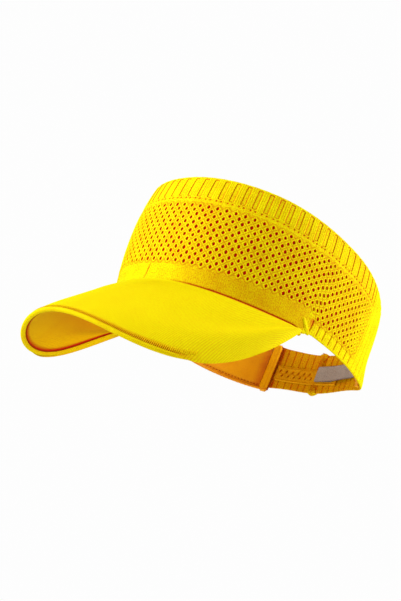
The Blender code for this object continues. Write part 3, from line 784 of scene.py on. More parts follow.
def mesh_panel():
    """The perforated zone: diamond cells, each with a round dimple down to the backing layer."""
    rng = np.random.default_rng(11)
    columns = round(END_S / HOLE_PITCH)
    pitch = END_S / columns
    dq = 1.0 / (HOLE_ROWS + 1)
    corners = np.array([[1, 0], [0, 1], [-1, 0], [0, -1]], float)
    edge = np.concatenate([corners[k] + (corners[(k + 1) % 4] - corners[k]) * np.arange(4)[:, None] / 4
                           for k in range(4)])
    angle = np.arctan2(edge[:, 1], edge[:, 0])
    circle = np.stack([np.cos(angle), np.sin(angle)], -1)
    circle = circle / np.maximum(np.abs(circle).sum(-1, keepdims=True), 1e-9) * 0.25 + circle * 0.75
    half = np.array([pitch / 2, dq])
    row_mm = 2.8
    hole = circle * HOLE_RADIUS * np.array([0.9, 1.12]) / np.array([pitch / 2, row_mm])
    # each ring's deep paints shade: the lattice between cells and the dimples' walls and floors are
    # darker the deeper they lie
    rings = [(edge, 0.08, 0.42), (edge * 0.6 + hole * 0.5, -0.12, 0.10), (hole * 1.3, -0.2, 0.0),
             (hole * 1.05, -0.02, 0.4), (hole * 0.9, 0.35, 0.9), (hole * 0.82, 0.62, 1.0)]
    n = len(edge)
    places = [(i + 0.5 * (j % 2), j + 1) for j in range(HOLE_ROWS)
              for i in range(-columns + 1 - j % 2, columns)]
    centres = np.array(places) * np.array([pitch, dq])
    open_ = 1 - 0.55 * ease((np.abs(centres[:, 0]) / END_S - 0.9) / 0.1)
    open_ = (open_ * rng.uniform(0.88, 1.08, len(centres)))[:, None, None]
    layers = []
    for r, (shape, relief, deep) in enumerate(rings):
        at = centres[:, None] + shape * half * (open_ if r > 1 else 1.0)
        layers.append(np.concatenate([at, np.broadcast_to([relief, deep], at.shape)], -1))
    floors = np.column_stack([centres, np.full(len(centres), 0.62), np.ones(len(centres))])
    cells = np.concatenate(layers + [floors[:, None]], 1)
    first = np.arange(len(cells))[:, None, None] * cells.shape[1]
    ring = first + np.arange(len(rings) - 1)[:, None] * n
    a, b = ring + np.arange(n), ring + np.roll(np.arange(n), -1)
    points = [cells.reshape(-1, 4)]
    quads = [np.stack([a, b, b + n, a + n], -1).reshape(-1, 4)]
    last = first[:, 0] + (len(rings) - 1) * n
    k = np.arange(n)
    middle = np.broadcast_to(last + n, (len(cells), n))
    tris = [np.stack([last + k, last + np.roll(k, -1), middle], -1).reshape(-1, 3)]
    ngons = []
    count = len(points[0])

    def triangle(a, b, c):
        """A plain filler between cells, in four steps along each side."""
        nonlocal count
        a, b, c = (np.asarray(x, float) for x in (a, b, c))
        index = {}
        found = []
        for p in range(5):
            for q in range(5 - p):
                index[p, q] = count + len(found)
                found.append([*(a + (b - a) * p / 4 + (c - a) * q / 4), 0.0, 0.15])
        points.append(np.array(found))
        count += len(found)
        out = []
        for p in range(4):
            for q in range(4 - p):
                out.append([index[p, q], index[p + 1, q], index[p, q + 1]])
                if p + q < 3:
                    out.append([index[p + 1, q], index[p + 1, q + 1], index[p, q + 1]])
        tris.append(np.array(out))

    for i in range(-columns, columns):
        triangle((i * pitch, 0), ((i + 1) * pitch, 0), ((i + 0.5) * pitch, dq))
    top = 1.0
    for i in range(-columns, columns - 1):
        triangle(((i + 1.5) * pitch, top), ((i + 0.5) * pitch, top), ((i + 1) * pitch, top - dq))
    edge_s = columns * pitch
    for j in range(0, HOLE_ROWS, 2):
        q = (j + 1) * dq
        triangle((edge_s, q - dq), (edge_s, q + dq), (edge_s - pitch / 2, q))
        triangle((-edge_s, q + dq), (-edge_s, q - dq), (-edge_s + pitch / 2, q))
    for sign in (1, -1):
        found = [(edge_s, top - dq), (edge_s, top - dq / 2), (edge_s, top), (edge_s - pitch / 4, top)]
        found += [(edge_s - pitch / 2 + pitch / 8 * k, top - dq / 4 * k) for k in range(4)]
        found = np.array(found) * [sign, 1]
        points.append(np.column_stack([found, np.zeros((len(found), 2))]))
        face = np.arange(count, count + len(found))
        ngons.append((face if sign > 0 else face[::-1])[None, :])
        count += len(found)

    flat = np.concatenate(points)
    key = np.round(flat[:, :2] * [1000, 100000]).astype(np.int64)
    _, first, where = np.unique(key, axis=0, return_index=True, return_inverse=True)
    where = where.reshape(-1)
    flat = flat[first]
    faces = [where[np.concatenate(quads)], where[np.concatenate(tris)]] + [where[g] for g in ngons]

    def stretched(s):
        """The knit is stretched most at the front, so its holes lie further apart there."""
        x = s / END_S
        return END_S * x * (1 + HOLE_STRETCH * (1 - x * x))

    # Plain backing over the same stops as the rim
    s_stops = np.arange(-4 * columns, 4 * columns + 1) * pitch / 4
    q_stops = np.linspace(0, 1, 2 * (HOLE_ROWS + 1) + 1)
    inner_s, inner_q = np.meshgrid(s_stops, q_stops, indexing="ij")
    a = angle_at(stretched(flat[:, 0]))
    low, high = mesh_low(a), cuff_low(a)
    outer = band(a, low + (high - low) * flat[:, 1], flat[:, 2])
    a_in = angle_at(stretched(inner_s))
    low_in, high_in = mesh_low(a_in), cuff_low(a_in)
    z_in = low_in + (high_in - low_in) * inner_q
    wales, wales_deep = plain_inside(inner_s, None, None)
    inner = band(a_in, z_in, WALL - wales)
    n_in, m_in = inner_s.shape
    total = len(outer)
    loop = border(n_in, m_in)
    lookup = {tuple(k): i for i, k in enumerate(np.round(flat[:, :2] * [1000, 100000]).astype(np.int64))}
    stops = np.stack([inner_s.reshape(-1)[loop], inner_q.reshape(-1)[loop]], -1)
    outer_loop = [lookup[tuple(k)] for k in np.round(stops * [1000, 100000]).astype(np.int64)]
    faces += [grid_faces(n_in, m_in, total)[:, ::-1], rim_faces(np.array(outer_loop), loop + total)]
    cloth = np.concatenate([
        np.column_stack([flat[:, 0], low + (high - low) * flat[:, 1], np.zeros(total)]),
        on_cloth(inner_s, z_in).reshape(-1, 3)])
    deep = np.concatenate([flat[:, 3], INSIDE_SHADE + wales_deep.reshape(-1)])
    return make("mesh_panel", np.concatenate([outer, inner.reshape(-1, 3)]), faces, knit, deep=deep,
                cloth=cloth, slot="knit", replaces=["knit_mesh_panel"], sharp=60.0)


mesh_panel()


# --- the brim --------------------

BRIM_ANGLES = np.linspace(-BRIM_CORNER, BRIM_CORNER, 3281)
BRIM_HEADING = np.degrees(np.arctan2(oval(BRIM_ANGLES)[:, 0], -oval(BRIM_ANGLES)[:, 1]))
BRIM_EDGE_SCALE = edge_scale(np.clip(BRIM_ANGLES, -BRIM_CORNER + 0.3, BRIM_CORNER - 0.3))


def brim_place(x, y):
    """The brim's own angle and v at a place in plan."""
    a = np.interp(np.degrees(np.arctan2(x, -y)), BRIM_HEADING, BRIM_ANGLES)
    root = np.linalg.norm(oval(a), axis=-1)
    return a, (np.hypot(x, y) - root) / np.maximum(brim_reach(a), 0.05)


def brim_inset(a, v):
    return (1 - v) * np.interp(a, BRIM_ANGLES, BRIM_EDGE_SCALE)


CORD = 0.95
UNDER_SHADE = 0.45           # painted shade: how much darker the underside's colour grows towards the band


def lip_shown(a):
    """1 where the edge strip shows on top; off to the sides its stitched line rolls over the edge."""
    return 1 - ease((np.abs(a) - 34.0) / 16.0)


def lip_width(a):
    """How far the edge strip reaches over the top."""
    return 0.7 + (LIP - 0.7) * lip_shown(a)


def roll_over(inset):
    """How far the brim's rounded edge lies below its top, at a distance in from the edge."""
    half = BRIM_STACK / 2
    return half - np.sqrt(half * half - np.clip(half - inset, 0, half) ** 2)


def cover_plan(lip):
    """The cover in plan, one column to each quarter of a cord: x, length across the cloth, and the
    front and back ends of the column."""
    a = np.linspace(0, BRIM_CORNER - 0.05, 1640)
    scale = np.maximum(edge_scale(np.minimum(a, BRIM_CORNER - 0.3)), 0.1)
    line = brim_middle(a, np.maximum(1 - (lip(a) - 0.4) / scale, 0.05))
    widest = int(line[:, 0].argmax())
    x_max = line[widest, 0]
    slope = np.gradient(line[:widest, 2], line[:widest, 0])
    across = np.diff(line[:widest, 0]) * np.sqrt(1 + (0.7 * slope[1:]) ** 2)
    width = np.concatenate([[0], np.cumsum(across)])
    w = np.arange(0, int(width[-1] / CORD) * 4 + 1) * CORD / 4
    x = np.interp(w, width, line[:widest, 0])
    x = np.concatenate([x, x_max - (x_max - x[-1]) * np.array([0.5, 0.2, 0.06, 0.01])])
    w = np.concatenate([w, w[-1] + CORD * np.array([0.25, 0.5, 0.75, 1.0])])
    y_front = np.interp(x, line[:widest + 1, 0], line[:widest + 1, 1])
    root = oval(a)
    y_seam = np.interp(x, root[:, 0], root[:, 1])
    behind = line[widest:][::-1]
    y_back = np.where(x <= root[-1, 0], y_seam, np.interp(x, behind[:, 0], behind[:, 1]))
    x, w = (np.concatenate([-values[:0:-1], values]) for values in (x, w))
    y_front, y_back = (np.concatenate([y[:0:-1], y]) for y in (y_front, y_back))
    return x, w, y_front, y_back


def brim_cover(name, node, top, material, relief, deep_gain):
    """A corded cover, built along its cords, which run fore and aft."""
    def lip(a):
        return lip_width(a) if top else LIP

    x, w, y_front, y_back = cover_plan(lip)
    rows = rows_with(np.array([0, 0.012, 0.025, 0.04, 0.06, 0.09]), np.linspace(0.09, 0.93, 17),
                     np.array([0.95, 0.965, 0.98, 0.99, 1.0]))
    gx = np.broadcast_to(x[:, None], (len(x), len(rows)))
    gy = y_front[:, None] + (y_back - y_front)[:, None] * rows[None, :]
    angle, v = brim_place(gx, gy)
    v = np.clip(v, 0.0, 1.0)
    inset = brim_inset(angle, v)
    fade = ease(v * brim_reach(angle) / 2.5)
    cord = np.cos(2 * np.pi * w / CORD)[:, None] * np.ones_like(gy)
    shown = lip_shown(angle) if top else 1.0
    past_lip = inset - lip(angle)
    groove = shown * (1 - ease((past_lip - 0.35) / GROOVE))
    rolled = (1 - shown) * roll_over(inset)
    seam = bell(v * brim_reach(angle), 0.5)
    side = ease((np.abs(angle) - 8.0) / 30.0)
    sunk = 0.5 * groove + 0.35 * side * seam + relief * (0.5 - 0.5 * cord) * fade + rolled
    # painted shade in the cords' hollows, the groove beside the edge strip and the seam at the band,
    # faded near the front middle where light falls; the underside darker towards the band
    deep = np.clip(deep_gain * (0.5 - 0.5 * cord) ** 2 * fade + shown * bell(past_lip - 0.5, 0.85)
                   + 0.9 * side * seam + (0.0 if top else UNDER_SHADE * (1 - v)), 0, 1)
    if top:
        outer = brim_point(angle, v, sunk)
        thicker = 0.25 * (1 - shown) * (1 - ease(inset / 3))
        inner = brim_point(angle, v, COVER + 0.1 + 0.2 * groove + rolled - thicker)
    else:
        outer = brim_point(angle, v, BRIM_STACK - sunk)
        inner = brim_point(angle, v, np.full(sunk.shape, BRIM_STACK - COVER - 0.1) - 0.2 * groove)
    cloth = on_cloth(w[:, None], gy)
    return sheet_body(name, outer, inner, material, deep, 0.3, cloth, slot="brim_cloth", replaces=[node],
                      sharp=60.0)


brim_cover("brim_top_cloth", "brim_top_cover", True, brim_top, 0.16, 0.30)
brim_cover("brim_under_cloth", "brim_bottom_cover", False, brim_under, 0.05, 0.06)


EDGE_ANGLES = np.linspace(-81.6, 81.6, 6529)
EDGE_STEPS = np.diff(brim_middle(EDGE_ANGLES, np.ones(len(EDGE_ANGLES))), axis=0)
EDGE_LENGTH = np.concatenate([[0], np.cumsum(np.linalg.norm(EDGE_STEPS, axis=1))])
STITCH = 1.2
EDGE_STITCHES = int(EDGE_LENGTH[-1] / STITCH)


def edge_strip():
    """The folded strip round the leading edge, with a fine rib at each stitch."""
    s = np.arange(EDGE_STITCHES * 4 + 1) * STITCH / 4
    a = np.interp(s, EDGE_LENGTH, EDGE_ANGLES)
    ones = np.ones_like(a)
    half, thick = BRIM_STACK / 2, 0.35
    width = np.minimum(LIP, 0.45 * brim_length(a))
    out, up = brim_axes(a, ones)
    centre = brim_point(a, edge_v(a, half), half * ones)
    ridge = 0.10 * np.cos(2 * np.pi * s / STITCH)
    hidden = 0.5 * (1 - lip_shown(a))

    def lip(share, below):
        """A line along the top lip, or the lower lip, at a share of its width."""
        v = edge_v(a, half + (width - half) * share)
        tuck = 0.35 * bell((1 - share) * (width - half), 0.5)
        sign, sink = (1, 0.0) if below else (-1, hidden)
        depths = [below * ones + sign * (raised - sink) for raised in (ridge - tuck, -thick)]
        return [brim_point(a, v, depth) for depth in depths]

    shares = (0.2, 0.4, 0.6, 0.78, 0.9, 1.0)
    lines = [lip(share, 0.0) for share in shares[::-1]]
    for turn in np.radians([75.0, 50.0, 25.0, 0.0, -25.0, -50.0, -75.0]):
        way = out * math.cos(turn) + up * math.sin(turn)
        tucked = hidden * float(ease(math.sin(turn) / 0.8))
        lines.append([centre + way * (half + raised - tucked)[:, None] for raised in (ridge, -thick)])
    lines += [lip(share, BRIM_STACK) for share in shares]
    outer, inner = (np.stack(face, 1) for face in zip(*lines))
    m = outer.shape[1]
    middle = outer[len(a) // 2]
    across = np.concatenate([[0], np.cumsum(np.linalg.norm(np.diff(middle, axis=0), axis=1))])
    # painted shade between the stitch ribs, along the strip's two edges and on its lower lip
    deep = 0.16 * (0.5 - 0.5 * np.cos(2 * np.pi * s / STITCH))[:, None] * np.ones((1, m))
    deep[:, [0, -1]] += 0.5
    deep[:, -len(shares):] += 0.12
    return sheet_body("brim_edge_binding", outer, inner, edge_cloth, deep, 0.3,
                      on_cloth(s[:, None], across[None, :]), slot="brim_cloth",
                      replaces=["brim_edge_strip"])


edge_strip()


def edge_stitches(name, node, under):
    """The row of stitches beside the edge strip, above or below the brim."""
    s = np.arange(3, EDGE_STITCHES - 3) * STITCH
    a = np.interp(s, EDGE_LENGTH, EDGE_ANGLES)
    ones = np.ones_like(a)
    keep = brim_length(a) > 14.0
    if not under:
        keep &= np.abs(a) < 47.0
    a, ones = a[keep], ones[keep]
    depth = 0.12 * ones
    below = BRIM_STACK - depth if under else depth
    insets = (LIP, LIP + 0.5) if under else (LIP - 0.3, LIP + GROOVE + 0.3)
    ends = [brim_point(a, edge_v(a, inset), below) for inset in insets]
    up = brim_axes(a, ones)[1] * (-0.18 if under else 0.18)
    return bars(name, ends[0], ends[1], up, 0.25, shade_dark_thread if under else bright_thread, slot="thread",
                replaces=[node])


edge_stitches("brim_top_stitches", "brim_top_stitch_thread", False)
edge_stitches("brim_under_stitches", "brim_under_stitch_thread", True)


FOLD_TOP, FOLD_END = (80.2, 7.2), (85.4, -1.6)


def corner_fold(side, word):
    """The stitched fold where the brim's corner is caught into the band."""
    def line(t):
        """The fold's middle at shares of its length, and its directions along, across and out."""
        a = side * (FOLD_TOP[0] + (FOLD_END[0] - FOLD_TOP[0]) * t)
        z = FOLD_TOP[1] + (FOLD_END[1] - FOLD_TOP[1]) * t
        middle = band(a, z, 0.3)
        out = unit(band(a, z, -1.0) - band(a, z, 0.0))
        along = unit(np.gradient(middle, axis=0))
        return middle, along, np.cross(out, along), out

    t = np.linspace(0, 1, 17)
    path, along, across, out = line(t)
    width = (1.3 + 0.5 * t) * np.sqrt(np.clip(1 - (2 * t - 1) ** 6, 0.02, 1))
    turn = np.linspace(0, 2 * np.pi, 14, endpoint=False)
    ring = (np.cos(turn)[None, :, None] * across[:, None] * width[:, None, None]
            + np.sin(turn)[None, :, None] * out[:, None] * (0.62 * width)[:, None, None])
    points = path[:, None] + ring
    cloth = on_cloth(t[:, None] * 11, turn[None, :]).reshape(-1, 3)
    # deep paints shade along the fold's two sides, where it meets the wall
    make("corner_fold_" + word, points.reshape(-1, 3), tube_faces(len(t), len(turn)), knit, cloth=cloth,
         slot="knit", deep=np.tile(0.04 + 0.8 * (np.abs(np.cos(turn)) > 0.93), len(t)))
    middle, along, across, out = line(np.linspace(0.08, 0.92, 8))
    bars("corner_stitches_" + word, middle - across * 1.5 - out * 0.1 - along * 0.5,
         middle + across * 1.5 - out * 0.1 + along * 0.5, out * 0.85, 0.2, bright_thread, slot="thread",
         replaces=["brim_corner_tack_" + word])


for side, word in ((1, "left"), (-1, "right")):
    corner_fold(side, word)


# --- the linings --------------------

def lining_low(a):
    """Lower edge of the sweatband: above the brim's seam, then level behind the brim."""
    level = np.where(np.asarray(a) > 0, LINING_LOW_LEFT, LINING_LOW_RIGHT)
    a = folded(a)
    corner = float(lower_edge(LINING_TURN)) + LINING_LIFT
    behind = corner + (level - corner) * ease((a - LINING_TURN) / LINING_RAMP)
    return np.where(a < LINING_TURN, lower_edge(a) + LINING_LIFT, behind)


LINING_FROM, LINING_TO = -151.0, 136.2
LINING_SEAM = 1.5


def wrinkle(s, v, seed):
    """A soft uneven swell of cloth, the same each time."""
    rng = np.random.default_rng(seed)
    total = 0.0
    for _ in range(7):
        length, tilt, phase = rng.uniform(14, 60), rng.uniform(-0.5, 0.5), rng.uniform(0, 6.28)
        total = total + np.sin(2 * np.pi * (s + tilt * v) / length + phase)
    return total / 7


LINING_S = np.linspace(length_at(LINING_FROM), length_at(LINING_TO), 420)
LINING_ANGLES = angle_at(LINING_S)[:, None]


def lining():
    """The sweatband's smooth cloth, puffed over its padding and pinched along the stitches."""
    s = LINING_S
    rows = rows_with(np.array([0, 0.012, 0.03, 0.055, 0.08, 0.11]), np.linspace(0.11, 0.93, 15),
                     np.array([0.95, 0.965, 0.98, 0.992, 1.0]))
    height = LINING_HEIGHT * rows[None, :]
    z = lining_low(LINING_ANGLES) + height
    crown = np.sin(np.pi * np.clip((height - LINING_SEAM) / (LINING_HEIGHT - LINING_SEAM), 0, 1)) ** 0.6
    ends = np.minimum(ease((s - s[0]) / 9.0), ease((s[-1] - s) / 9.0))[:, None]
    swell = 0.75 * crown + 0.5 * wrinkle(s[:, None], height, 4) * crown
    pinch = 0.45 * bell(height - LINING_SEAM, 0.7)
    roll = rounded(height, 0.9) / 0.45
    roll = np.minimum(roll, rounded(LINING_HEIGHT - height, 0.9) / 0.45)
    puff = (swell - 0.2) * (0.35 + 0.65 * ends) - pinch
    outer = band(LINING_ANGLES, z, LINING_DEPTH + 0.3 - 0.3 * roll)
    inner = band(LINING_ANGLES, z, LINING_DEPTH + 0.3 + 0.3 * roll + puff)
    # painted shade along the pinched stitch line and towards the two ends by the end hems
    deep = 0.3 * bell(height - LINING_SEAM, 0.5) * np.ones_like(z) + 0.4 * (1 - ends)
    sheet_body("sweatband_cloth", outer, inner, satin, 0.2, np.clip(deep, 0, 1),
               on_cloth(s[:, None], height), slot="sweatband", replaces=["sweatband_lining"])


def lining_padding():
    rows = np.linspace(0, 1, 14)[None, :]
    z = lining_low(LINING_ANGLES) + 10.0 + 24.0 * rows
    bulge = np.sqrt(np.clip(1 - (2 * rows - 1) ** 4, 0.03, 1))
    middle = WALL + 0.3 + 0.9
    band_sheet("sweatband_padding", LINING_S[:, None], z, middle - 0.9 * bulge, middle + 0.9 * bulge,
               padding, 0.0, 0.0, slot="foam", replaces=["sweatband_foam"])


def lining_overlock():
    """Slanting loops of thread over the lining's free top edge."""
    loops = np.arange(LINING_S[0] + 2, LINING_S[-1] - 2, 1.7)
    a = angle_at(loops)
    top = lining_low(a) + LINING_HEIGHT
    start = band(a, top - 2.2, LINING_DEPTH + 1.0 + 0.2)
    end = band(angle_at(loops + 1.2), top + 0.25, LINING_DEPTH + 0.3)
    lift = unit(band(a, top, LINING_DEPTH + 3) - band(a, top, LINING_DEPTH)) * 0.35
    bars("sweatband_overlock", start, end, lift, 0.2, shade_amber_thread, slot="thread")


def lining_piping():
    """The rolled edge under the lining, with painted shade along its top where it meets the cloth."""
    stops = np.linspace(LINING_S[0] - 7.0, LINING_S[-1] + 5.0, 520)
    a = angle_at(stops)
    radius = 1.0 + 0.07 * np.sin(stops * 2 * np.pi / 3.4) + 0.05 * wrinkle(stops, 0.0, 9)
    path = band(a, lining_low(a) - 0.75, LINING_DEPTH + 0.2)
    turn = np.linspace(0, 2 * np.pi, 12, endpoint=False)
    deep = np.tile(0.12 + 0.3 * (np.cos(turn - np.pi / 2) > 0.6), len(stops))
    tube("sweatband_piping", path, radius, satin, sides=len(turn), slot="sweatband",
         replaces=["sweatband_lower_piping"], deep=deep)


def lining_stitches():
    """Running stitches above the piping."""
    first = np.arange(LINING_S[0] + 1.0, LINING_S[-1] - 3.0, 2.7)
    start, end = ((s, lining_low(angle_at(s)) + LINING_SEAM, LINING_DEPTH + 0.6)
                  for s in (first, first + 1.6))
    band_stitches("sweatband_stitches", start, end, 0.18, 0.27, shade_dark_thread,
                  replaces=["sweatband_stitch_thread"])


lining()
lining_padding()
lining_overlock()
lining_piping()
lining_stitches()


def end_hem(word, a0, a1, phase):
    """The rolled, stitched-down end of the sweatband, standing proud with rounded corners."""
    level = float(lining_low(a0))
    low, high = level - 2.0, level + LINING_HEIGHT + 1.0
    middle, half = (a0 + a1) / 2, (a1 - a0) / 2
    width_mm = abs(length_at(a1) - length_at(a0))
    u = np.linspace(-1, 1, 25)
    z = np.concatenate([low + np.array([0, 0.25, 0.7, 1.4, 2.4]), np.linspace(low + 4, high - 4, 22),
                        high - np.array([2.4, 1.4, 0.7, 0.25, 0])])
    edge = np.minimum(z - low, high - z)
    corner = 1 - 0.45 * bell(edge, 1.6)
    lean = 0.35 * np.sin((z - low) / (high - low) * np.pi * 1.3 + phase)
    aa = middle + half * (u[:, None] * corner[None, :] + 0.10 * lean[None, :])
    zz = np.broadcast_to(z[None, :], aa.shape)
    dome = np.clip(1 - np.abs(u[:, None]) ** 3.2, 0, 1) ** 0.5 * np.clip(1 - (1 - np.minimum(
        edge[None, :] / 2.2, 1)) ** 2, 0.0, 1) ** 0.5
    roll = 0.25 * bell(u[:, None] - 0.5, 0.4)
    crease = 0.22 * bell(u[:, None] + 0.35, 0.14)
    inner = band(aa, zz, 2.3 + 2.7 * dome + (roll - crease) * dome
                 + 0.2 * wrinkle(zz * 2.0, u[:, None] * 6, 12))
    outer = band(aa, zz, 1.9)
    # painted shadow lines along both long edges, darkest at the edges, and painted shade in the crease
    deep = 0.02 + 0.9 * np.clip(np.abs(u[:, None]) - 0.86, 0, 1) / 0.14 + 0.12 * bell(
        u[:, None] + 0.35, 0.14) + 0.0 * zz
    cloth = on_cloth(u[:, None] * width_mm / 2, z[None, :])
    return sheet_body("sweatband_end_" + word, outer, inner, hem_satin, 0.5, np.clip(deep, 0, 1), cloth,
                      slot="sweatband", replaces=["sweatband_end_hem_" + word])


def end_stitches(word, a0, rear):
    """Uneven overlocking down the side of an end hem that faces the back."""
    level = float(lining_low(a0))
    z = np.arange(level - 0.5, level + LINING_HEIGHT - 0.5, 1.45)
    rng = np.random.default_rng(14)
    count = len(z)
    centre = length_at(a0)
    start = (centre + rng.uniform(-0.2, 0.3, count) * rear, z, 2.6)
    end = (centre - rear * rng.uniform(0.7, 1.3, count), z + rng.uniform(0.3, 1.0, count), 3.9)
    band_stitches("sweatband_end_stitches_" + word, start, end, 0.4, 0.24, shade_dark_thread)


end_hem("right", -156.2, -150.8, 0.4)
end_hem("left", 136.0, 141.2, 2.0)
end_stitches("right", -156.4, -1)
end_stitches("left", 141.4, 1)


TAPE_END = 79.0


def seam_tape():
    """The binding over the seam inside, behind the brim."""
    s = np.linspace(-length_at(TAPE_END), length_at(TAPE_END), 300)
    a = angle_at(s)[:, None]
    rows = np.linspace(0, 1, 9)
    z = lower_edge(a) + 0.6 + 9.0 * rows[None, :]
    half = 0.27 * np.sqrt(np.clip(1 - (2 * rows[None, :] - 1) ** 8, 0.05, 1))
    ripple = 0.10 * wrinkle(s[:, None], z, 21)
    band_sheet("brim_seam_binding", s[:, None], z, 1.95 - half, 1.95 + half + ripple, satin, 0.3, 0.3,
               slot="sweatband", replaces=["brim_seam_tape"])


seam_tape()


# --- the back: seam, loop tape and strap --------------------

def back_seam():
    """The overlocked seam up the middle of the back, bunched at its two ends."""
    low, high = float(lower_edge(180.0)) - 2.0, float(upper_edge(180.0)) + 1.4
    z = np.concatenate([low + np.array([0, 0.3, 0.9, 1.8]), np.linspace(low + 3, high - 3, 24),
                        high - np.array([1.8, 0.9, 0.3, 0])])
    u = np.linspace(-1, 1, 17)
    edge = np.minimum(z - low, high - z)
    bunch = bell(edge, 4.0)
    half = 2.3 + 3.6 * bunch
    round_off = quarter_round(edge, 1.8)
    s = length_at(180.0) + u[:, None] * (half * (0.5 + 0.5 * round_off))[None, :]
    a = angle_at(s)
    inward = np.where(z < (low + high) / 2, 2.0, -1.6) * bell(edge, 3.0)
    zz = z[None, :] + u[:, None] ** 2 * inward[None, :]
    body = np.sqrt(np.clip(1 - np.abs(u[:, None]) ** 2.5, 0.02, 1)) * round_off[None, :]
    lumps = 0.16 * np.sin(zz * 2 * np.pi / 2.1 + 1.5 * u[:, None])
    outside = 0.7 - (1.0 + 0.3 * bunch[None, :] + lumps) * body + 0.55 * bell(u[:, None], 0.14)
    inside = 0.7 + (1.6 + 0.9 * bunch[None, :] + lumps) * body
    outer = band(a, zz, outside)
    inner = band(a, zz, inside)
    # painted shade down the ridge's middle groove, in the hollows between its lumps and along its edges
    # inside; the bunch at the bottom is left lighter as a painted highlight
    deep = np.clip(0.1 + 0.5 * bell(u[:, None], 0.16) + 0.0 * zz, 0, 1)
    deep_in = np.clip(0.42 - 1.0 * lumps - 0.25 * bunch[None, :] * (z < 12.0)
                      + 0.3 * (np.abs(u[:, None]) > 0.85), 0, 1)
    cloth = on_cloth(u[:, None] * 3.2, zz)
    sheet_body("back_seam_ridge", outer, inner, knit, deep, deep_in, cloth, slot="knit",
               replaces=["centre_back_seam"])
    steps = np.arange(low + 0.8, high - 1.2, 1.25)
    centre = length_at(180.0)
    start = band(angle_at(np.full(len(steps), centre - 2.4)), steps, 2.2)
    end = band(angle_at(np.full(len(steps), centre + 2.4)), steps + 1.3, 2.2)
    lift = np.tile([0, -1.0, 0], (len(steps), 1)) * 0.75
    bars("back_seam_overlock", start, end, lift, 0.26, shade_amber_thread, slot="thread")


back_seam()


LOOP_FROM, LOOP_TO = -193.0, -156.9
LOOP_LOW, LOOP_HIGH = 7.5, 20.0


def loop_tape():
    """Brushed loop tape, its end rounded, held by a zigzag of stitches that pull it in."""
    low, high = LOOP_LOW, LOOP_HIGH
    s1 = length_at(LOOP_TO)
    s = np.linspace(length_at(LOOP_FROM), s1, 150)
    rows = np.linspace(-1, 1, 37)
    end = np.clip((s1 - s) / 2.6, 0, 1)
    half = (high - low) / 2 * (0.78 + 0.22 * np.sqrt(1 - (1 - end) ** 2))
    z = (low + high) / 2 + rows[None, :] * half[:, None]
    from_edge = np.minimum((1 - np.abs(rows))[None, :] * half[:, None], (s1 - s)[:, None])
    rim = quarter_round(from_edge, 0.9)
    rng = np.random.default_rng(3)
    pile = rng.normal(0.0, 0.07, z.shape)
    spots = stitch_spots()
    dent = np.zeros(z.shape)
    for ds, dz in spots:
        dent += bell(np.hypot(s[:, None] - ds + 0.35 * (z - dz), 0.55 * (z - dz)), 0.62)
    dent = np.clip(dent, 0, 1)
    ditch = bell(from_edge - 1.3, 0.35)
    face = 1.9 + (1.25 + pile) * rim - 0.75 * dent - 0.16 * ditch
    # painted shade in the stitch dents and the ditch along the edges; the pile's random height varies its
    # tone
    deep = np.clip(0.08 + 0.95 * dent + 0.25 * ditch + 0.9 * np.abs(pile), 0, 1)
    band_sheet("loop_tape_pile", s[:, None], z, 1.9 - 0.05 * rim, face, brushed, 0.4, deep,
               slot="loop_tape", replaces=["loop_tape"])
    turns = np.array(spots)
    start, end = ((part[:, 0], part[:, 1], 2.75) for part in (turns[:-1], turns[1:]))
    band_stitches("loop_tape_stitches", start, end, 0.45, 0.22, shade_amber_thread,
                  replaces=["loop_tape_stitch_thread"])


def stitch_spots():
    """The zigzag's turns: length round the band, and height."""
    middle = (LOOP_LOW + LOOP_HIGH) / 2
    stops = np.linspace(length_at(LOOP_TO) - 3.6, length_at(-178.0), 12)
    return [(s, middle + (-1.6 if i % 2 else 1.6)) for i, s in enumerate(stops)]


loop_tape()

STRAP_FROM, STRAP_TO = 142.6, 179.5
STRAP_LOW, STRAP_HIGH, STRAP = 9.0, 21.5, 0.8
HINGE_ANGLE = 147.6


def strap_depth(a):
    """How deep the strap lies: sewn close at its root, over the loop tape at its tip."""
    return 1.9 + 2.5 * ease((a - HINGE_ANGLE) / 14.0)


def strap_lean(a):
    """The strap is sewn on slightly high at its root."""
    return 2.2 * np.clip((178.0 - a) / 30.0, 0.0, 1.0)


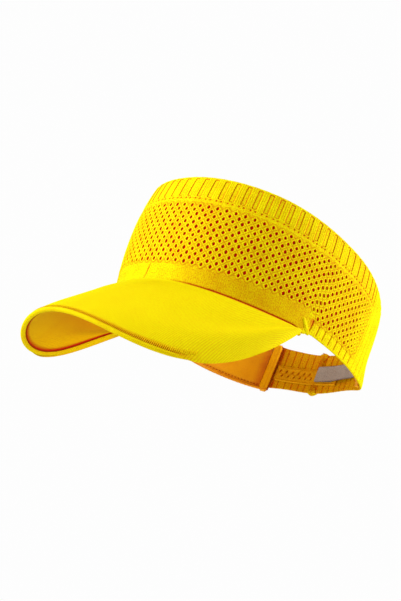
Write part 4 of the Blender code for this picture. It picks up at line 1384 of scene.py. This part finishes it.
def strap():
    """The webbing strap from its sewn root to its free tip, in one piece across the fold."""
    s = np.linspace(length_at(STRAP_FROM), length_at(STRAP_TO), 170)
    rows = np.linspace(-1, 1, 33)
    a = angle_at(s)[:, None]
    from_tip = s[-1] - s
    half = (STRAP_HIGH - STRAP_LOW) / 2 * np.ones_like(s) - 0.5 * bell(from_tip, 0.9)
    z = (STRAP_LOW + STRAP_HIGH) / 2 + strap_lean(a) + rows[None, :] * half[:, None]
    edge = np.minimum((1 - np.abs(rows))[None, :] * half[:, None],
                      np.minimum(from_tip, s - s[0])[:, None])
    rim = quarter_round(edge, 0.45, 0.04)
    rng = np.random.default_rng(8)
    grain = rng.normal(0.0, 0.035, z.shape)
    sag = 0.25 * wrinkle(s[:, None], z, 5) * ease((s - length_at(150.0)) / 12.0)[:, None]
    centre = strap_depth(a) + STRAP / 2 + sag
    deep = np.clip(0.55 * bell(edge, 0.5) + 2.5 * np.abs(grain), 0, 1)
    made = band_sheet("strap_webbing_piece", s[:, None], z, centre - STRAP / 2 * rim,
                      centre + (STRAP / 2 + grain) * rim, webbing, 0.2, deep, body=None,
                      slot="strap", replaces=["strap_root_tab", "hook_strap"])
    point_m(147.0, 15.0, 2.3)
    point_m(150.2, 15.0, 2.3)
    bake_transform(made)
    t = np.linspace(STRAP_LOW + 1.2, STRAP_HIGH - 1.2, 10) + strap_lean(144.6)
    base = length_at(144.6)
    lift = inward(band(144.6, t, 0.0)) * 0.3
    bars("strap_root_stitches", band(angle_at(np.full(10, base - 1.2)), t, 2.75),
         band(angle_at(np.full(10, base + 1.2)), t + 0.5, 2.75), lift, 0.25, shade_dark_thread, slot="thread",
         replaces=["strap_root_tack"])


def point_m(a, z, depth):
    """A place on the band, in metres."""
    return [float(x) * MM for x in band(a, z, depth)]


strap()


def hook_patch():
    """The hook face under the strap's tip: a backing with rows of small hooks."""
    s = np.linspace(length_at(169.0), length_at(178.6), 24)
    z = np.linspace(STRAP_LOW + 0.6, STRAP_HIGH - 0.6, 19)
    zz = np.broadcast_to(z[None, :], (24, 19))
    rng = np.random.default_rng(6)
    rough = rng.normal(0, 0.02, zz.shape)
    band_sheet("hook_backing", s[:, None], zz, 3.85 + rough, 4.15, hooks, 0.1, 0.2,
               body="size_strap", slot="hook", replaces=["hook_patch"])
    gs, gz = np.meshgrid(np.arange(s[0] + 0.8, s[-1] - 0.5, 1.25),
                         np.arange(z[0] + 0.7, z[-1] - 0.4, 1.1), indexing="ij")
    gs, gz = gs.reshape(-1), gz.reshape(-1)
    band_stitches("hook_pins", (gs - 0.28, gz, 3.84), (gs + 0.28, gz, 3.84), -0.42, 0.13, hooks, sides=5,
                  body="size_strap", slot="hook")


hook_patch()

# The stiffener inside the brim keeps its CAD shape
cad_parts["brim_board"].data.materials.clear()
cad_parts["brim_board"].data.materials.append(board)


# --- camera, light and floor --------------------

AZIMUTH, ELEVATION, ROLL = math.radians(53.883), math.radians(-18.761), math.radians(22.801)
DISTANCE, SHIFT_RIGHT, SHIFT_UP = 0.924379, -0.030822, -0.012623
back = Vector((math.sin(AZIMUTH) * math.cos(ELEVATION), -math.cos(AZIMUTH) * math.cos(ELEVATION),
               math.sin(ELEVATION)))
right = Vector((math.cos(AZIMUTH), math.sin(AZIMUTH), 0.0))
up = back.cross(right)
view_right = right * math.cos(ROLL) + up * math.sin(ROLL)
view_up = up * math.cos(ROLL) - right * math.sin(ROLL)
target = Vector((0.0, 0.0, 0.030))

camera = bpy.data.objects.new("camera", bpy.data.cameras.new("camera"))
bpy.context.scene.collection.objects.link(camera)
place = target + back * DISTANCE + right * SHIFT_RIGHT + up * SHIFT_UP
camera.matrix_world = Matrix((
    (view_right.x, view_up.x, back.x, place.x),
    (view_right.y, view_up.y, back.y, place.y),
    (view_right.z, view_up.z, back.z, place.z),
    (0.0, 0.0, 0.0, 1.0)))
camera.data.lens = 78.29
camera.data.sensor_width = 36.0
camera.data.clip_start, camera.data.clip_end = 0.05, 30.0
bpy.context.scene.camera = camera


def soft_light(name, direction, distance, size, power_w, colour):
    """An area light that looks at the visor from a direction given in the camera's axes."""
    lamp = bpy.data.lights.new(name, "AREA")
    lamp.shape = "DISK"
    lamp.size = size
    lamp.energy = power_w
    lamp.color = colour
    obj = bpy.data.objects.new(name, lamp)
    bpy.context.scene.collection.objects.link(obj)
    way = (view_right * direction[0] + view_up * direction[1] + back * direction[2]).normalized()
    obj.location = target + way * distance
    obj.rotation_mode = "QUATERNION"
    obj.rotation_quaternion = way.to_track_quat("Z", "Y")
    return obj


soft_light("key_left", (-0.95, 0.75, 0.20), 1.1, 0.6, 13.0, (1.0, 0.99, 0.96))
soft_light("key_right", (1.0, 0.25, 0.05), 1.1, 0.6, 13.0, (1.0, 0.99, 0.96))
soft_light("front_fill", (0.1, -0.2, 1.0), 1.6, 1.0, 4.6, (1.0, 0.97, 0.93))

world = bpy.data.worlds.new("studio")
bpy.context.scene.world = world
world.use_nodes = True
nodes, links = world.node_tree.nodes, world.node_tree.links
seen = nodes["Background"]
seen.inputs[0].default_value = (0.985, 0.985, 0.985, 1.0)
lighting = nodes.new("ShaderNodeBackground")
lighting.inputs[0].default_value = (1.0, 0.97, 0.93, 1.0)
lighting.inputs[1].default_value = 0.38
path = nodes.new("ShaderNodeLightPath")
choose = nodes.new("ShaderNodeMixShader")
links.new(path.outputs["Is Camera Ray"], choose.inputs[0])
links.new(lighting.outputs[0], choose.inputs[1])
links.new(seen.outputs[0], choose.inputs[2])
links.new(choose.outputs[0], nodes["World Output"].inputs[0])
bpy.context.scene.view_settings.view_transform = "Standard"

FLOOR_Z = -0.45
floor_mesh = bpy.data.meshes.new("floor")
floor_mesh.from_pydata([(-4, -4, FLOOR_Z), (4, -4, FLOOR_Z), (4, 4, FLOOR_Z), (-4, 4, FLOOR_Z)], [],
                       [(0, 1, 2, 3)])
floor = bpy.data.objects.new("floor", floor_mesh)
bpy.context.scene.collection.objects.link(floor)
pale = bpy.data.materials.new("pale_floor")
pale.use_nodes = True
pale.node_tree.nodes["Principled BSDF"].inputs["Base Color"].default_value = (0.85, 0.85, 0.84, 1.0)
pale.node_tree.nodes["Principled BSDF"].inputs["Roughness"].default_value = 0.9
floor_mesh.materials.append(pale)

bpy.context.view_layer.update()
